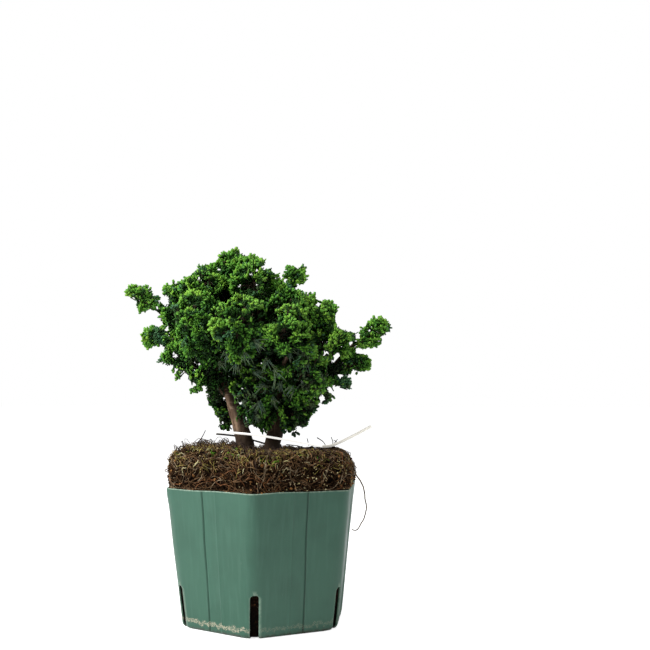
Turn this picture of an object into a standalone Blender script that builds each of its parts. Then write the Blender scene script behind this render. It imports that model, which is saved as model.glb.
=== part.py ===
"""A dwarf hinoki cypress with two stems, lifted a little out of its six-sided nursery pot.

Metres, +Z up. The origin is the centre of the pot's flat underside, and one corner of the pot faces -Y.
Sizes below are in millimetres, and MM turns them into metres.
"""

import math
import random

import bmesh
import bpy
from mathutils import Vector, noise
from mathutils.bvhtree import BVHTree

MM = 0.001
CLEAR = 0.3  # gap between neighbours that touch

# The pot: a thin six-sided tub that tapers to a flat foot, with a drainage slit at each corner
SIDES = 6
POT_HEIGHT = 85.4
RIM_REACH = 63.4  # axis to a rim corner
FOOT_REACH = 52.8  # axis to a corner at the foot, before the foot is rounded
RIM_CORNER_ROUND = 10.0
FOOT_CORNER_ROUND = 7.0
FOOT_ROUND = 6.0
WALL = 1.1
FLOOR = 1.6
STRIP_WIDTH = 9.6  # shallow band down the middle of each side
STRIP_DEPTH = 0.4
SLIT_WIDTH = 5.6
SLIT_TOP = 26.3
SLIT_TOP_ROUND = 2.2
SLIT_INNER = 36.0  # axis to the slit's end under the foot

# The root ball: it fills the pot and stands proud of the rim
BALL_TOP = 109.5
BALL_PROUD_REACH = 62.6
BALL_PROUD_FROM = 87.4  # height where it has swelled past the rim
BALL_EDGE_ROUND = 9.0
BALL_CORNER_ROUND = 16.0
BALL_LUMP = 1.1

# The plant stands turned in its pot by this angle, so that it faces the photograph's viewpoint
PLANT_TURN = math.radians(4.6)

# Stems and boughs, as stops of x, y, z and radius: x to the right, y away from the viewpoint
TRUNKS = {
    "left_trunk": [
        (-13, 0, BALL_TOP + CLEAR, 5.6),
        (-13.4, 0, 112.5, 4.9),
        (-16, 0, 119.5, 4.2),
        (-19, 0, 128, 3.8),
        (-22.3, 0, 139.6, 3.3),
        (-26.5, 0.5, 152, 2.8),
        (-29, 1.5, 168, 2.3),
        (-27, 3, 184, 1.8),
        (-21.5, 5, 203, 1.2),
    ],
    "right_trunk": [
        (3.5, 2, BALL_TOP + CLEAR, 5.5),
        (3.7, 2, 112.5, 4.9),
        (5, 2, 119.5, 4.3),
        (7.5, 1, 128, 3.4),
        (9, 0, 140, 2.9),
        (8, -1, 156, 2.5),
        (4, -3, 172, 2.0),
        (-1, -5, 188, 1.5),
        (-4, -7.5, 199, 1.2),
    ],
}
# Each bough: the limb that it grows from, the height there, then its own stops
BOUGHS = {
    "left_spur_bough": ("left_trunk", 158, 1.9, [(-46, 11, 178, 1.5), (-66, 5, 196, 1.0)]),
    "left_low_spur_bough": ("left_trunk", 149, 1.6, [(-43, 9, 160, 1.3), (-60.5, 5, 175, 0.9)]),
    "left_shoulder_bough": ("left_trunk", 173, 1.6, [(-37, 3, 186, 1.3), (-42, 2, 192, 1.1)]),
    "left_front_bough": ("left_trunk", 160, 1.7, [(-26.5, -10, 168, 1.4), (-24, -21, 175, 1.1)]),
    "left_back_bough": ("left_trunk", 165, 1.7, [(-31, 14, 175, 1.4), (-33, 24, 182, 1.1)]),
    "left_lower_bough": ("left_trunk", 139, 1.5, [(-32, -3, 150, 1.3), (-39, -4, 156, 1.0)]),
    "right_limb": (
        "right_trunk",
        120,
        3.2,
        [(14, 1, 124.5, 2.9), (22.5, 1, 131, 2.5), (28.5, 4, 140, 2.1), (39, 9, 155, 1.7), (58, 6, 176, 1.0)],
    ),
    "right_low_bough": ("right_limb", 149, 1.3, [(41, 5, 154, 1.1), (48, 4, 159, 0.9)]),
    "right_top_bough": ("right_trunk", 169, 1.5, [(9, -3, 186, 1.2), (16, -2, 210, 0.9)]),
    "right_mid_bough": ("right_trunk", 154, 1.7, [(20, 0, 169, 1.4), (30, 0, 182, 1.1)]),
    "right_front_bough": ("right_trunk", 150, 1.7, [(12.5, -13, 161, 1.4), (16, -22, 168, 1.1)]),
    "right_back_bough": ("right_trunk", 160, 1.7, [(13, 12, 169, 1.4), (20, 22, 174, 1.1)]),
    "crown_back_bough": ("right_trunk", 179, 1.4, [(1, 6, 188, 1.2), (-1, 12, 193, 1.0)]),
    "low_back_bough": ("right_trunk", 134, 1.5, [(4, 9, 139, 1.3), (1, 14, 141, 1.0)]),
}
TRUNK_SIDES, TRUNK_RINGS = 8, 14
BOUGH_SIDES, BOUGH_RINGS = 5, 5
FLARE_LOBES = 5  # low ridges where roots leave the foot of a stem
FLARE_DEPTH = 0.10
FLARE_HEIGHT = 7.0

# Masses of foliage: centre, radius, half of the line that it is drawn out along, and the limb that feeds it;
# a number after a limb's name is the height where the stem leaves that limb
NONE = (0, 0, 0)
MASSES = {
    "crown_top": ((-18, 5.5, 219.5), 19.5, NONE, ("left_trunk", None)),
    "crown_front": ((-6.5, -8, 213), 19.5, NONE, ("right_trunk", None)),
    "crown_back": ((-1.5, 21, 200), 21.5, NONE, ("crown_back_bough", None)),
    "upper_left": ((-37.5, -3.5, 208), 20.5, NONE, ("left_shoulder_bough", None)),
    "upper_left_back": ((-37.5, 26, 196), 23, NONE, ("left_back_bough", None)),
    "left_shoulder": ((-53, 0, 196), 15.5, (-3, 0, 4), ("left_shoulder_bough", None)),
    "left_spur": ((-77.5, 0, 204.5), 9.5, (-5, 0, 3.5), ("left_spur_bough", None)),
    "left_low_spur": ((-67, -2, 180), 10.5, (-4, 0, 0), ("left_low_spur_bough", None)),
    "left_front": ((-35.5, -29.5, 185), 24, NONE, ("left_front_bough", None)),
    "left_lower": ((-46.5, -4, 162), 13.5, (-9.5, 1, 6), ("left_lower_bough", None)),
    "left_fringe": ((-27.5, 13, 137.5), 12.5, (-2.5, 0, 8), ("left_trunk", 131)),
    "centre_front": ((-13, -36.5, 183), 24, NONE, ("left_front_bough", None)),
    "centre_low": ((-5, -12, 141), 18.5, (0, 0, 5), ("right_trunk", 131)),
    "right_front": ((16, -34.5, 175.5), 24, NONE, ("right_front_bough", None)),
    "low_front_right": ((27.5, -22.5, 157), 18, NONE, ("right_front_bough", None)),
    "right_top_spur": ((19, -2, 219.5), 9, (2.5, 0, 1), ("right_top_bough", None)),
    "right_upper": ((12.5, -11, 195), 19, NONE, ("right_trunk", 182)),
    "right_shoulder": ((31, -2, 193), 15.5, (6, 1, -1), ("right_mid_bough", None)),
    "right_mid": ((41, -2, 175), 16.5, (3, 0, 1), ("right_mid_bough", None)),
    "right_spur": ((68.5, 2, 181.5), 9.5, (5, 0, 4), ("right_limb", None)),
    "right_low_spur": ((58, 3, 162.5), 10, (4, 0, 0.5), ("right_low_bough", None)),
    "right_lower": ((37, -5, 147.5), 13.5, (2.5, 0, 1.5), ("right_limb", 136)),
    "low_right": ((21.5, -10, 135.5), 16.5, (2, 0, 3.5), ("right_trunk", 127)),
    "low_back": ((3.5, 22, 142.5), 19, (11, -2, -4.5), ("low_back_bough", None)),
    "back_left": ((-24, 38.5, 172), 24, NONE, ("left_back_bough", None)),
    "back_right": ((18, 36.5, 183), 24, NONE, ("right_back_bough", None)),
    "back_right_low": ((30.5, 29, 159), 19, NONE, ("right_back_bough", None)),
}
CORE_SHARE = 0.5  # a core's radius, as a share of its mass's
CORE_BUMP = 0.2  # how far single corners of a core stand in or out, like the tips of its sprays
END_ROOM = 1.5  # a bough ends this far short of the cores that it feeds
CELL_GAP = 0.35  # each mass stays this far from the plane between it and a neighbour
STEM_RADIUS = 0.95
STEM_SIDES = 5
STEM_CHECKS = (0.0, 1.0, 2.0, 4.0)  # distances from its foot where a stem is held clear of the bark
LEAST_TWIGS = 5
TWIGS_PER_AREA = 0.0011  # more twigs for each square millimetre of a mass's sphere
SPRAY_LENGTH = 14.5  # fork to tip, in a mass of full size
FULL_SIZE_RADIUS = 20.0  # sprays are smaller in a mass of less than this radius
SPRAY_THICK = 2.8
SPRAY_LEAVES = ((-44, 0.82), (0, 1.0), (44, 0.82))  # degrees off the twig, and share of the spray's length
LEAST_LEAF = 0.4  # a leaf cut back to less than this share of the spray is left off
LEAF_BLUNT = math.radians(10)  # half of the angle that a leaf's end takes up, seen from the fork
NOTCH = 0.5  # how far out the notch between two leaves lies
TWIG_WIDTH = 1.9
LEAN = (math.radians(28), math.radians(58))  # how far twigs lean over from straight out of the core
RISE = math.radians(70)  # twigs lean upward, give or take this much
LOW_SIDE = -0.3  # twigs that point further down than this lean every way
TRIES = 5  # ways to lay one spray before it is left out
CURL = 1.6  # how far a spray's tips bend out of its plane
LOWEST_LEAF = BALL_TOP + 6.0
SEED = 11

# A white plastic tie strip lies in a shallow V on the root ball, in front of both stems
TIE_STOPS = [
    (-29.4, -9.5, 119.1),
    (-9, -9.5, 117.5),
    (11, -9.5, 114.4),
    (30, -9.5, 111.6),
    (38, -9.5, 110.5),
    (45, -9.5, 112.4),
    (56, -9.5, 117.6),
    (67.5, -9.5, 123.6),
]
TIE_WIDTH, TIE_THICK = 1.9, 0.8
TIE_RINGS = 22


def clear_scene():
    """Starts from an empty scene."""
    for thing in list(bpy.data.objects):
        bpy.data.objects.remove(thing)


def material(name, colour, roughness):
    """A Principled finish of one colour, made once and shared."""
    found = bpy.data.materials.get(name)
    if found:
        return found
    made = bpy.data.materials.new(name)
    made.use_nodes = True
    shader = made.node_tree.nodes["Principled BSDF"]
    shader.inputs["Base Color"].default_value = (*colour, 1.0)
    shader.inputs["Roughness"].default_value = roughness
    made.diffuse_color = (*colour, 1.0)
    return made


def pot_green():
    return material("pot_green_plastic", (0.10, 0.22, 0.16), 0.45)


def soil_brown():
    return material("root_ball_brown", (0.060, 0.032, 0.018), 0.95)


def bark_brown():
    return material("bark_red_brown", (0.16, 0.085, 0.055), 0.85)


def foliage_green(bright):
    """Bright green for the crown's outer masses and a deep green for the low and inner ones."""
    if bright:
        return material("foliage_bright", (0.085, 0.24, 0.030), 0.6)
    return material("foliage_deep", (0.022, 0.085, 0.026), 0.65)


def tie_white():
    return material("tie_white_plastic", (0.80, 0.79, 0.74), 0.5)


def object_of(name, mesh, finish, collection=None):
    """An object of one mesh and one finish, in the scene or in a collection of working pieces."""
    made = bpy.data.objects.new(name, mesh)
    (collection or bpy.context.scene.collection).objects.link(made)
    mesh.materials.clear()
    mesh.materials.append(finish)
    return made


def loft(name, rings):
    """A closed mesh from rings of equally many points: quads between neighbours, and a face over each end."""
    shape = bmesh.new()
    loops = [[shape.verts.new(Vector(point) * MM) for point in ring] for ring in rings]
    count = len(loops[0])
    for low, high in zip(loops, loops[1:]):
        for i in range(count):
            j = (i + 1) % count
            shape.faces.new((low[i], low[j], high[j], high[i]))
    shape.faces.new(list(reversed(loops[0])))
    shape.faces.new(loops[-1])
    bmesh.ops.recalc_face_normals(shape, faces=shape.faces)
    mesh = bpy.data.meshes.new(name)
    shape.to_mesh(mesh)
    shape.free()
    return mesh


def smooth(mesh, angle=35):
    mesh.shade_smooth()
    mesh.set_sharp_from_angle(angle=math.radians(angle))


def settled_mesh(thing):
    """The mesh of an object with its modifiers applied."""
    bpy.context.view_layer.update()
    graph = bpy.context.evaluated_depsgraph_get()
    return bpy.data.meshes.new_from_object(thing.evaluated_get(graph))


def apply_boolean(thing, operation, cutter, solver):
    """Applies one Boolean, with an object or a whole collection as its operand."""
    step = thing.modifiers.new(operation.lower(), "BOOLEAN")
    step.operation = operation
    step.solver = solver
    if isinstance(cutter, bpy.types.Collection):
        step.operand_type = "COLLECTION"
        step.collection = cutter
    else:
        step.object = cutter
    finish = thing.data.materials[0]
    made = settled_mesh(thing)
    thing.modifiers.clear()
    thing.data = made
    made.materials.clear()
    made.materials.append(finish)
    made.polygons.foreach_set("material_index", [0] * len(made.polygons))


def turned(point):
    """A point of the plant, with the plant turned in its pot."""
    x, y, z = point[:3]
    c, s = math.cos(PLANT_TURN), math.sin(PLANT_TURN)
    return Vector((x * c - y * s, x * s + y * c, z))


def hexagon_ring(inset, height, reach, corner_round, strip_depth=0.0, arc_steps=3):
    """One level of a six-sided outline with round corners: reach is axis to the rounded corner."""
    half = math.pi / SIDES
    apothem = (reach + corner_round * (1 / math.cos(half) - 1)) * math.cos(half) - inset
    radius = max(corner_round - inset, 1.0)
    centre = (apothem - radius) / math.cos(half)
    ring = []
    for k in range(SIDES):
        corner = -math.pi / 2 + 2 * half * k
        for i in range(arc_steps + 1):
            a = corner + half * (2 * i / arc_steps - 1)
            ring.append(
                (
                    centre * math.cos(corner) + radius * math.cos(a),
                    centre * math.sin(corner) + radius * math.sin(a),
                    height,
                )
            )
        if strip_depth is None:
            continue
        side = corner + half
        for along, depth in ((-0.5, 0), (-0.44, strip_depth), (0.44, strip_depth), (0.5, 0)):
            out, across = apothem - depth, along * STRIP_WIDTH
            ring.append(
                (
                    out * math.cos(side) - across * math.sin(side),
                    out * math.sin(side) + across * math.cos(side),
                    height,
                )
            )
    return ring


def pot_level(height):
    """Reach and corner rounding of the pot's outside at a height."""
    t = height / POT_HEIGHT
    reach = FOOT_REACH + (RIM_REACH - FOOT_REACH) * t
    return reach, FOOT_CORNER_ROUND + (RIM_CORNER_ROUND - FOOT_CORNER_ROUND) * t


def slit_cutter(k):
    """A round-topped slot that crosses one corner of the pot and runs in under its foot."""
    profile = [(-SLIT_WIDTH / 2, -2.0), (SLIT_WIDTH / 2, -2.0)]
    for side in (1, -1):
        for i in range(4):
            a = math.radians(30 * i if side == 1 else 90 - 30 * i)
            profile.append(
                (
                    side * (SLIT_WIDTH / 2 - SLIT_TOP_ROUND + SLIT_TOP_ROUND * math.cos(a)),
                    SLIT_TOP - SLIT_TOP_ROUND + SLIT_TOP_ROUND * math.sin(a),
                )
            )
    a = -math.pi / 2 + k * 2 * math.pi / SIDES
    out, across = Vector((math.cos(a), math.sin(a), 0)), Vector((-math.sin(a), math.cos(a), 0))
    rings = [
        [out * reach + across * u + Vector((0, 0, v)) for u, v in profile]
        for reach in (SLIT_INNER, RIM_REACH + 8.0)
    ]
    return loft("slit", rings)


def make_pot():
    """The tub: rings up the outside, over the rim and down the inside, then six slits."""
    rings = []
    for degrees in (0, 45, 90):
        a = math.radians(degrees)
        height, inset = FOOT_ROUND * (1 - math.cos(a)), FOOT_ROUND * (1 - math.sin(a))
        depth = STRIP_DEPTH if degrees else STRIP_DEPTH * 0.5
        rings.append(hexagon_ring(inset, height, *pot_level(height), depth))
    rings.append(hexagon_ring(0, POT_HEIGHT, *pot_level(POT_HEIGHT), STRIP_DEPTH))
    for height in (POT_HEIGHT, FLOOR + FOOT_ROUND - WALL):
        rings.append(hexagon_ring(WALL, height, *pot_level(height)))
    inner_round = FOOT_ROUND - WALL
    for degrees in (45, 0):
        a = math.radians(degrees)
        height = FLOOR + inner_round * (1 - math.cos(a))
        inset = WALL + inner_round * (1 - math.sin(a))
        rings.append(hexagon_ring(inset, height, *pot_level(height)))
    pot = object_of("pot", loft("pot", rings), pot_green())
    cutters = bpy.data.collections.new("slits")
    for k in range(SIDES):
        object_of(f"slit_{k}", slit_cutter(k), pot_green(), cutters)
    apply_boolean(pot, "DIFFERENCE", cutters, "EXACT")
    for cutter in list(cutters.objects):
        bpy.data.objects.remove(cutter)
    smooth(pot.data)
    return pot


def lumpy(point, amount):
    """Moves a point in and out of the root ball by a smooth seeded noise."""
    shift = noise.noise(Vector(point) * 0.16) + 0.5 * noise.noise(Vector(point) * 0.4)
    flat = Vector((point[0], point[1], 0)).normalized()
    return Vector(point) + flat * shift * amount


def make_root_ball():
    """The root ball follows the inside of the pot, stands up past the rim and rolls over to a level top."""
    gap = WALL + CLEAR + 0.1
    inner_round = FOOT_ROUND - WALL
    rings = []
    for degrees in (0, 45, 90):
        a = math.radians(degrees)
        height = FLOOR + CLEAR + inner_round * (1 - math.cos(a))
        inset = gap + inner_round * (1 - math.sin(a))
        rings.append(hexagon_ring(inset, height, *pot_level(height), None))
    for share in (0.35, 0.7, 1.0):
        height = POT_HEIGHT * share
        rings.append(hexagon_ring(gap, height, *pot_level(height), None))
    proud_side = BALL_TOP - BALL_EDGE_ROUND
    for share in (0.0, 0.5, 1.0):
        height = BALL_PROUD_FROM + (proud_side - BALL_PROUD_FROM) * share
        level = hexagon_ring(0, height, BALL_PROUD_REACH, BALL_CORNER_ROUND, None)
        rings.append([lumpy(p, BALL_LUMP) for p in level])
    for degrees in (35, 65):
        a = math.radians(degrees)
        height = proud_side + BALL_EDGE_ROUND * math.sin(a)
        inset = BALL_EDGE_ROUND * (1 - math.cos(a))
        level = hexagon_ring(inset, height, BALL_PROUD_REACH, BALL_CORNER_ROUND, None)
        rings.append([lumpy(p, BALL_LUMP) for p in level])
    rings.append(hexagon_ring(BALL_EDGE_ROUND + 3.0, BALL_TOP, BALL_PROUD_REACH, BALL_CORNER_ROUND, None))
    ball = object_of("root_ball", loft("root_ball", rings), soil_brown())
    smooth(ball.data, 50)
    return ball


def along_stops(stops, count, share=1.0):
    """Points and radii read from a smooth curve through the stops, up to a share of its course."""
    spots = [Vector(stop) for stop in stops]
    out = []
    for i in range(count + 1):
        u = i / count * share * (len(spots) - 1)
        k = min(int(u), len(spots) - 2)
        t = u - k
        before = spots[max(k - 1, 0)]
        start, end = spots[k], spots[k + 1]
        after = spots[min(k + 2, len(spots) - 1)]
        out.append(
            0.5
            * (
                2 * start
                + (end - before) * t
                + (2 * before - 5 * start + 4 * end - after) * t * t
                + (3 * start - before - 3 * end + after) * t * t * t
            )
        )
    return out


def limb_rings(spots, sides, grow=0.0, level_foot=False):
    """Rings round a limb's line and square to it; a trunk's foot ring is level and has the root flare."""
    rings = []
    across = Vector((0, 1, 0))
    for i, spot in enumerate(spots):
        here = spot.xyz
        after, before = spots[min(i + 1, len(spots) - 1)].xyz, spots[max(i - 1, 0)].xyz
        along = (after - before).normalized()
        if level_foot and i == 0:
            along = Vector((0, 0, 1))
        side = along.cross(across).normalized()
        across = side.cross(along).normalized()
        ring = []
        for k in range(sides):
            a = 2 * math.pi * k / sides
            radius = spot.w + grow
            if level_foot:
                fade = max(0.0, 1 - (here.z - spots[0].z) / FLARE_HEIGHT)
                radius *= 1 + FLARE_DEPTH * fade * math.sin(FLARE_LOBES * a)
            ring.append(here + (side * math.cos(a) + across * math.sin(a)) * radius)
        rings.append([turned(p) for p in ring])
    return rings


def spot_at_height(spots, height):
    """The point of a limb's line at a height, with its radius."""
    for low, high in zip(spots, spots[1:]):
        if low.z <= height <= high.z:
            return low.lerp(high, (height - low.z) / (high.z - low.z))
    raise ValueError(f"no point at height {height}")


def nearest_on(a, b, point):
    """The nearest point to a point on the line from a to b."""
    line = b - a
    length = line.length_squared
    t = 0.0 if length < 1e-9 else min(1.0, max(0.0, (point - a).dot(line) / length))
    return a + line * t


def nearest_between(a, b, c, d):
    """The nearest points of two short lines, found by going to and fro between them."""
    p = (a + b) / 2
    for _ in range(12):
        q = nearest_on(c, d, p)
        p = nearest_on(a, b, q)
    return p, q


def share_outside(name, stops):
    """The share of a limb's course that lies outside the cores of the masses at its end."""
    fed = [
        (Vector(at), radius, Vector(half))
        for at, radius, half, (limb, height) in MASSES.values()
        if limb == name and height is None
    ]
    course = along_stops(stops, 60)
    for i, spot in enumerate(course):
        for at, radius, half in fed:
            near = nearest_on(at - half, at + half, spot.xyz)
            if (spot.xyz - near).length < radius * CORE_SHARE + END_ROOM:
                return i / 60
    return 1.0


def make_limbs():
    """Both trunks and every bough, which starts in its parent and is cut back a hair clear of its bark."""
    lines = {}
    for name, stops in TRUNKS.items():
        lines[name] = along_stops(stops, TRUNK_RINGS, share_outside(name, stops))
        rings = limb_rings(lines[name], TRUNK_SIDES, level_foot=True)
        trunk = object_of(name, loft(name, rings), bark_brown())
        smooth(trunk.data, 60)
    for name, (parent, height, radius, stops) in BOUGHS.items():
        root = spot_at_height(lines[parent], height)
        stops = [(root.x, root.y, root.z, radius), *stops]
        lines[name] = along_stops(stops, BOUGH_RINGS, share_outside(name, stops))
        bough = object_of(name, loft(name, limb_rings(lines[name], BOUGH_SIDES)), bark_brown())
        is_trunk = parent in TRUNKS
        sides = TRUNK_SIDES if is_trunk else BOUGH_SIDES
        cutter_mesh = loft("bark_room", limb_rings(lines[parent], sides, CLEAR + 0.05, is_trunk))
        cutter = object_of("bark_room", cutter_mesh, bark_brown())
        apply_boolean(bough, "DIFFERENCE", cutter, "EXACT")
        bpy.data.objects.remove(cutter)
        smooth(bough.data, 60)
    return lines


class Space:
    """The room of one mass: a capsule, less what lies past the planes between it and its neighbours."""

    def __init__(self, name):
        centre, self.radius, half, _ = MASSES[name]
        self.name = name
        self.centre = turned(centre)
        self.half = turned(half)
        self.planes = []

    def ends(self):
        """The two ends of the line that the capsule is drawn out along."""
        return self.centre - self.half, self.centre + self.half

    def part_from(self, other):
        """Adds the plane that keeps this space clear of another, nearer the smaller of the two."""
        here, there = nearest_between(*self.ends(), *other.ends())
        apart = (there - here).length
        share = (apart**2 + self.radius**2 - other.radius**2) / (2 * apart**2)
        share = min(0.8, max(0.2, share))
        self.planes.append((here, (there - here) / apart, apart * share - CELL_GAP))

    def holds(self, point):
        """Whether a point is in this space."""
        inside = all((point - at).dot(normal) < room for at, normal, room in self.planes)
        near = nearest_on(*self.ends(), point)
        return inside and (point - near).length < self.radius and point.z > LOWEST_LEAF

    def reach(self, way, start=None):
        """How far a ray, from the centre unless a start is given, runs before it leaves this space."""
        start = start or self.centre
        low, high = 0.0, self.half.length + self.radius
        for _ in range(14):
            middle = (low + high) / 2
            if self.holds(start + way * middle):
                low = middle
            else:
                high = middle
        return low


def limb_parts(lines):
    """Every straight part of every limb, as two ends and the larger radius."""
    parts = []
    for line in lines.values():
        for a, b in zip(line, line[1:]):
            parts.append((turned(a), turned(b), max(a.w, b.w)))
    return parts


def touches_limb(a, b, half_width, parts):
    """Whether a straight piece from a to b comes too near any limb."""
    for start, end, radius in parts:
        p, q = nearest_between(a, b, start, end)
        if (p - q).length < radius + half_width + CLEAR:
            return True
    return False


def frame_of(way):
    """Two directions square to a way."""
    side = way.cross(Vector((0, 0, 1)) if abs(way.z) < 0.9 else Vector((1, 0, 0))).normalized()
    return side, side.cross(way).normalized()


def faces_of(meshes):
    """A search tree over the faces of several meshes, in millimetres."""
    points, faces = [], []
    for mesh in meshes:
        first = len(points)
        points += [vert.co / MM for vert in mesh.vertices]
        faces += [[first + i for i in face.vertices] for face in mesh.polygons]
    return BVHTree.FromPolygons(points, faces)


def is_clear(point, tree):
    """Whether a point lies outside every solid of a search tree, by the gap that neighbours keep."""
    near, normal, _, distance = tree.find_nearest(point)
    return distance > CLEAR and (point - near).dot(normal) > 0


def stem_skin(start, way):
    """Points on the first part of a stem's skin, and over its flat foot."""
    side, across = frame_of(way)
    turns = [math.pi * k / STEM_SIDES for k in range(2 * STEM_SIDES)]
    ring = [(side * math.cos(a) + across * math.sin(a)) * STEM_RADIUS for a in turns]
    points = [start] + [start + spot * 0.5 for spot in ring]
    for far in STEM_CHECKS:
        points += [start + way * far + spot for spot in ring]
    return points


def make_stem(name, space, lines, solids):
    """The ends of a mass's stem, which starts a hair clear of its bough's tip, or of its trunk's bark."""
    limb, height = MASSES[name][3]
    line = lines[limb]
    start = turned(line[-1] if height is None else spot_at_height(line, height))
    way = (space.centre - start).normalized()
    tree = faces_of(solids)
    while not all(is_clear(point, tree) for point in stem_skin(start, way)):
        start += way * 0.05
    return start, space.centre + way * 1.5


def capsule_reach(way, half, radius):
    """How far a ray from the middle of a capsule runs inside it."""
    length = half.length
    if length == 0:
        return radius
    along = min(1.0, abs(way.dot(half)) / length)
    side = math.sqrt(1 - along * along)
    if radius * along <= length * side:
        return radius / side
    return length * along + math.sqrt(radius**2 - (length * side) ** 2)


def core_mesh(name, space, parts, draw):
    """A bumpy ball round the centre, flattened wherever a neighbour's plane or a limb comes near."""
    shape = bmesh.new()
    bmesh.ops.create_icosphere(shape, subdivisions=2, radius=1.0)
    stops = list(space.planes)
    for start, end, radius in parts:
        near = nearest_on(start, end, space.centre)
        away = near - space.centre
        if away.length < space.radius + radius:
            stops.append((space.centre, away.normalized(), away.length - radius - CLEAR - 0.1))
    for vert in shape.verts:
        way = vert.co.normalized()
        size = space.radius * CORE_SHARE * (1 + CORE_BUMP * draw.uniform(-1, 1))
        far = capsule_reach(way, space.half, size)
        for at, normal, room in stops:
            slope = way.dot(normal)
            if slope > 1e-6:
                far = min(far, (room - (space.centre - at).dot(normal)) / slope)
        if space.centre.z + way.z * far < LOWEST_LEAF and way.z < 0:
            far = (LOWEST_LEAF - space.centre.z) / way.z
        vert.co = (space.centre + way * max(far, STEM_RADIUS)) * MM
    mesh = bpy.data.meshes.new(name)
    shape.to_mesh(mesh)
    shape.free()
    return mesh


def stem_mesh(a, b):
    """A straight stem that tapers from a to b."""
    way = (b - a).normalized()
    side, across = frame_of(way)
    turns = [2 * math.pi * k / STEM_SIDES for k in range(STEM_SIDES)]
    rings = []
    for spot, size in ((a, STEM_RADIUS), (b, STEM_RADIUS * 0.7)):
        rings.append([spot + (side * math.cos(t) + across * math.sin(t)) * size for t in turns])
    return loft("stem", rings)


def spray_mesh(root, fork, way, lay, flat, leaves, curl):
    """A twig and its fan of leaves as one thin solid: a rim round the fan and a peak on each face."""
    rim = [root + lay * TWIG_WIDTH / 2, root - lay * TWIG_WIDTH / 2, fork - lay * TWIG_WIDTH * 0.6]
    for i, (angle, length) in enumerate(leaves):
        if i:
            middle = (angle + leaves[i - 1][0]) / 2
            notch = NOTCH * (length + leaves[i - 1][1]) / 2
            rim.append(fork + (way * math.cos(middle) + lay * math.sin(middle)) * notch)
        bend = flat * curl * (length / SPRAY_LENGTH) ** 2
        for end in (angle - LEAF_BLUNT, angle + LEAF_BLUNT):
            rim.append(fork + (way * math.cos(end) + lay * math.sin(end)) * length + bend)
    rim.append(fork + lay * TWIG_WIDTH * 0.6)
    peak = fork + way * max(length for _, length in leaves) * 0.1
    shape = bmesh.new()
    edge = [shape.verts.new(p * MM) for p in rim]
    for side in (1, -1):
        top = shape.verts.new((peak + flat * side * SPRAY_THICK / 2) * MM)
        for i, vert in enumerate(edge):
            shape.faces.new((top, vert, edge[(i + 1) % len(edge)]))
    bmesh.ops.recalc_face_normals(shape, faces=shape.faces)
    mesh = bpy.data.meshes.new("spray")
    shape.to_mesh(mesh)
    shape.free()
    return mesh


def leaning_frame(out):
    """Two directions square to an outward one: the more upward of them comes first."""
    across = Vector((0, 0, 1)).cross(out) if abs(out.z) < 0.95 else Vector((1, 0, 0)).cross(out)
    across.normalize()
    return out.cross(across), across


def even_ways(count, draw):
    """Directions spread evenly over a sphere along a spiral, each nudged a little."""
    turn = math.pi * (3 - math.sqrt(5))
    for i in range(count):
        z = 1 - 2 * (i + 0.5) / count
        flat = math.sqrt(1 - z * z)
        way = Vector((flat * math.cos(turn * i), flat * math.sin(turn * i), z))
        yield (way + Vector([draw.uniform(-0.18, 0.18) for _ in range(3)])).normalized()


def keep_largest_part(mesh):
    """Drops loose scraps and the inner walls of sealed hollows."""
    shape = bmesh.new()
    shape.from_mesh(mesh)
    waiting, largest = set(shape.verts), []
    while waiting:
        part, edge_of = [waiting.pop()], 0
        while edge_of < len(part):
            for edge in part[edge_of].link_edges:
                other = edge.other_vert(part[edge_of])
                if other in waiting:
                    waiting.remove(other)
                    part.append(other)
            edge_of += 1
        if len(part) > len(largest):
            largest = part
    kept = set(largest)
    bmesh.ops.delete(shape, geom=[v for v in shape.verts if v not in kept], context="VERTS")
    shape.to_mesh(mesh)
    shape.free()


def leaves_that_fit(space, fork, way, lay, full, parts):
    """The leaves of a spray, each cut to the length that stays in its space and clear of every limb."""
    half_width = full * math.sin(LEAF_BLUNT) + 0.4
    leaves = []
    for degrees, share in SPRAY_LEAVES:
        angle = math.radians(degrees)
        ends = [way * math.cos(a) + lay * math.sin(a) for a in (angle - LEAF_BLUNT, angle + LEAF_BLUNT)]
        length = min(full * share, *(space.reach(end, fork) - CURL * 0.3 for end in ends))
        tip = fork + (way * math.cos(angle) + lay * math.sin(angle)) * length
        if length > full * LEAST_LEAF and not touches_limb(fork, tip, half_width, parts):
            leaves.append((angle, length))
    return leaves


def fitted_spray(space, out, full, parts, draw):
    """A spray that leans out of the core near one direction, tried a few ways before it is given up."""
    core = capsule_reach(out, space.half, space.radius * CORE_SHARE)
    up, across = leaning_frame(out)
    fork = space.centre + out * min(core * 0.95, space.reach(out) - 1.0)
    for _ in range(TRIES):
        spread = RISE if out.z > LOW_SIDE else math.pi
        rise, lean = draw.uniform(-spread, spread), draw.uniform(*LEAN)
        aside = up * math.cos(rise) + across * math.sin(rise)
        way = out * math.cos(lean) + aside * math.sin(lean)
        lay = out.cross(aside)
        root = fork - way * full * 0.25 - out * full * 0.15
        if touches_limb(root, fork, TWIG_WIDTH / 2, parts):
            continue
        leaves = leaves_that_fit(space, fork, way, lay, full, parts)
        if len(leaves) < 2:
            continue
        spray = spray_mesh(root, fork, way, lay, way.cross(lay), leaves, draw.uniform(-CURL, CURL))
        if all(space.holds(v.co / MM) for v in spray.vertices):
            return spray, len(leaves)
    return None, 0


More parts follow.
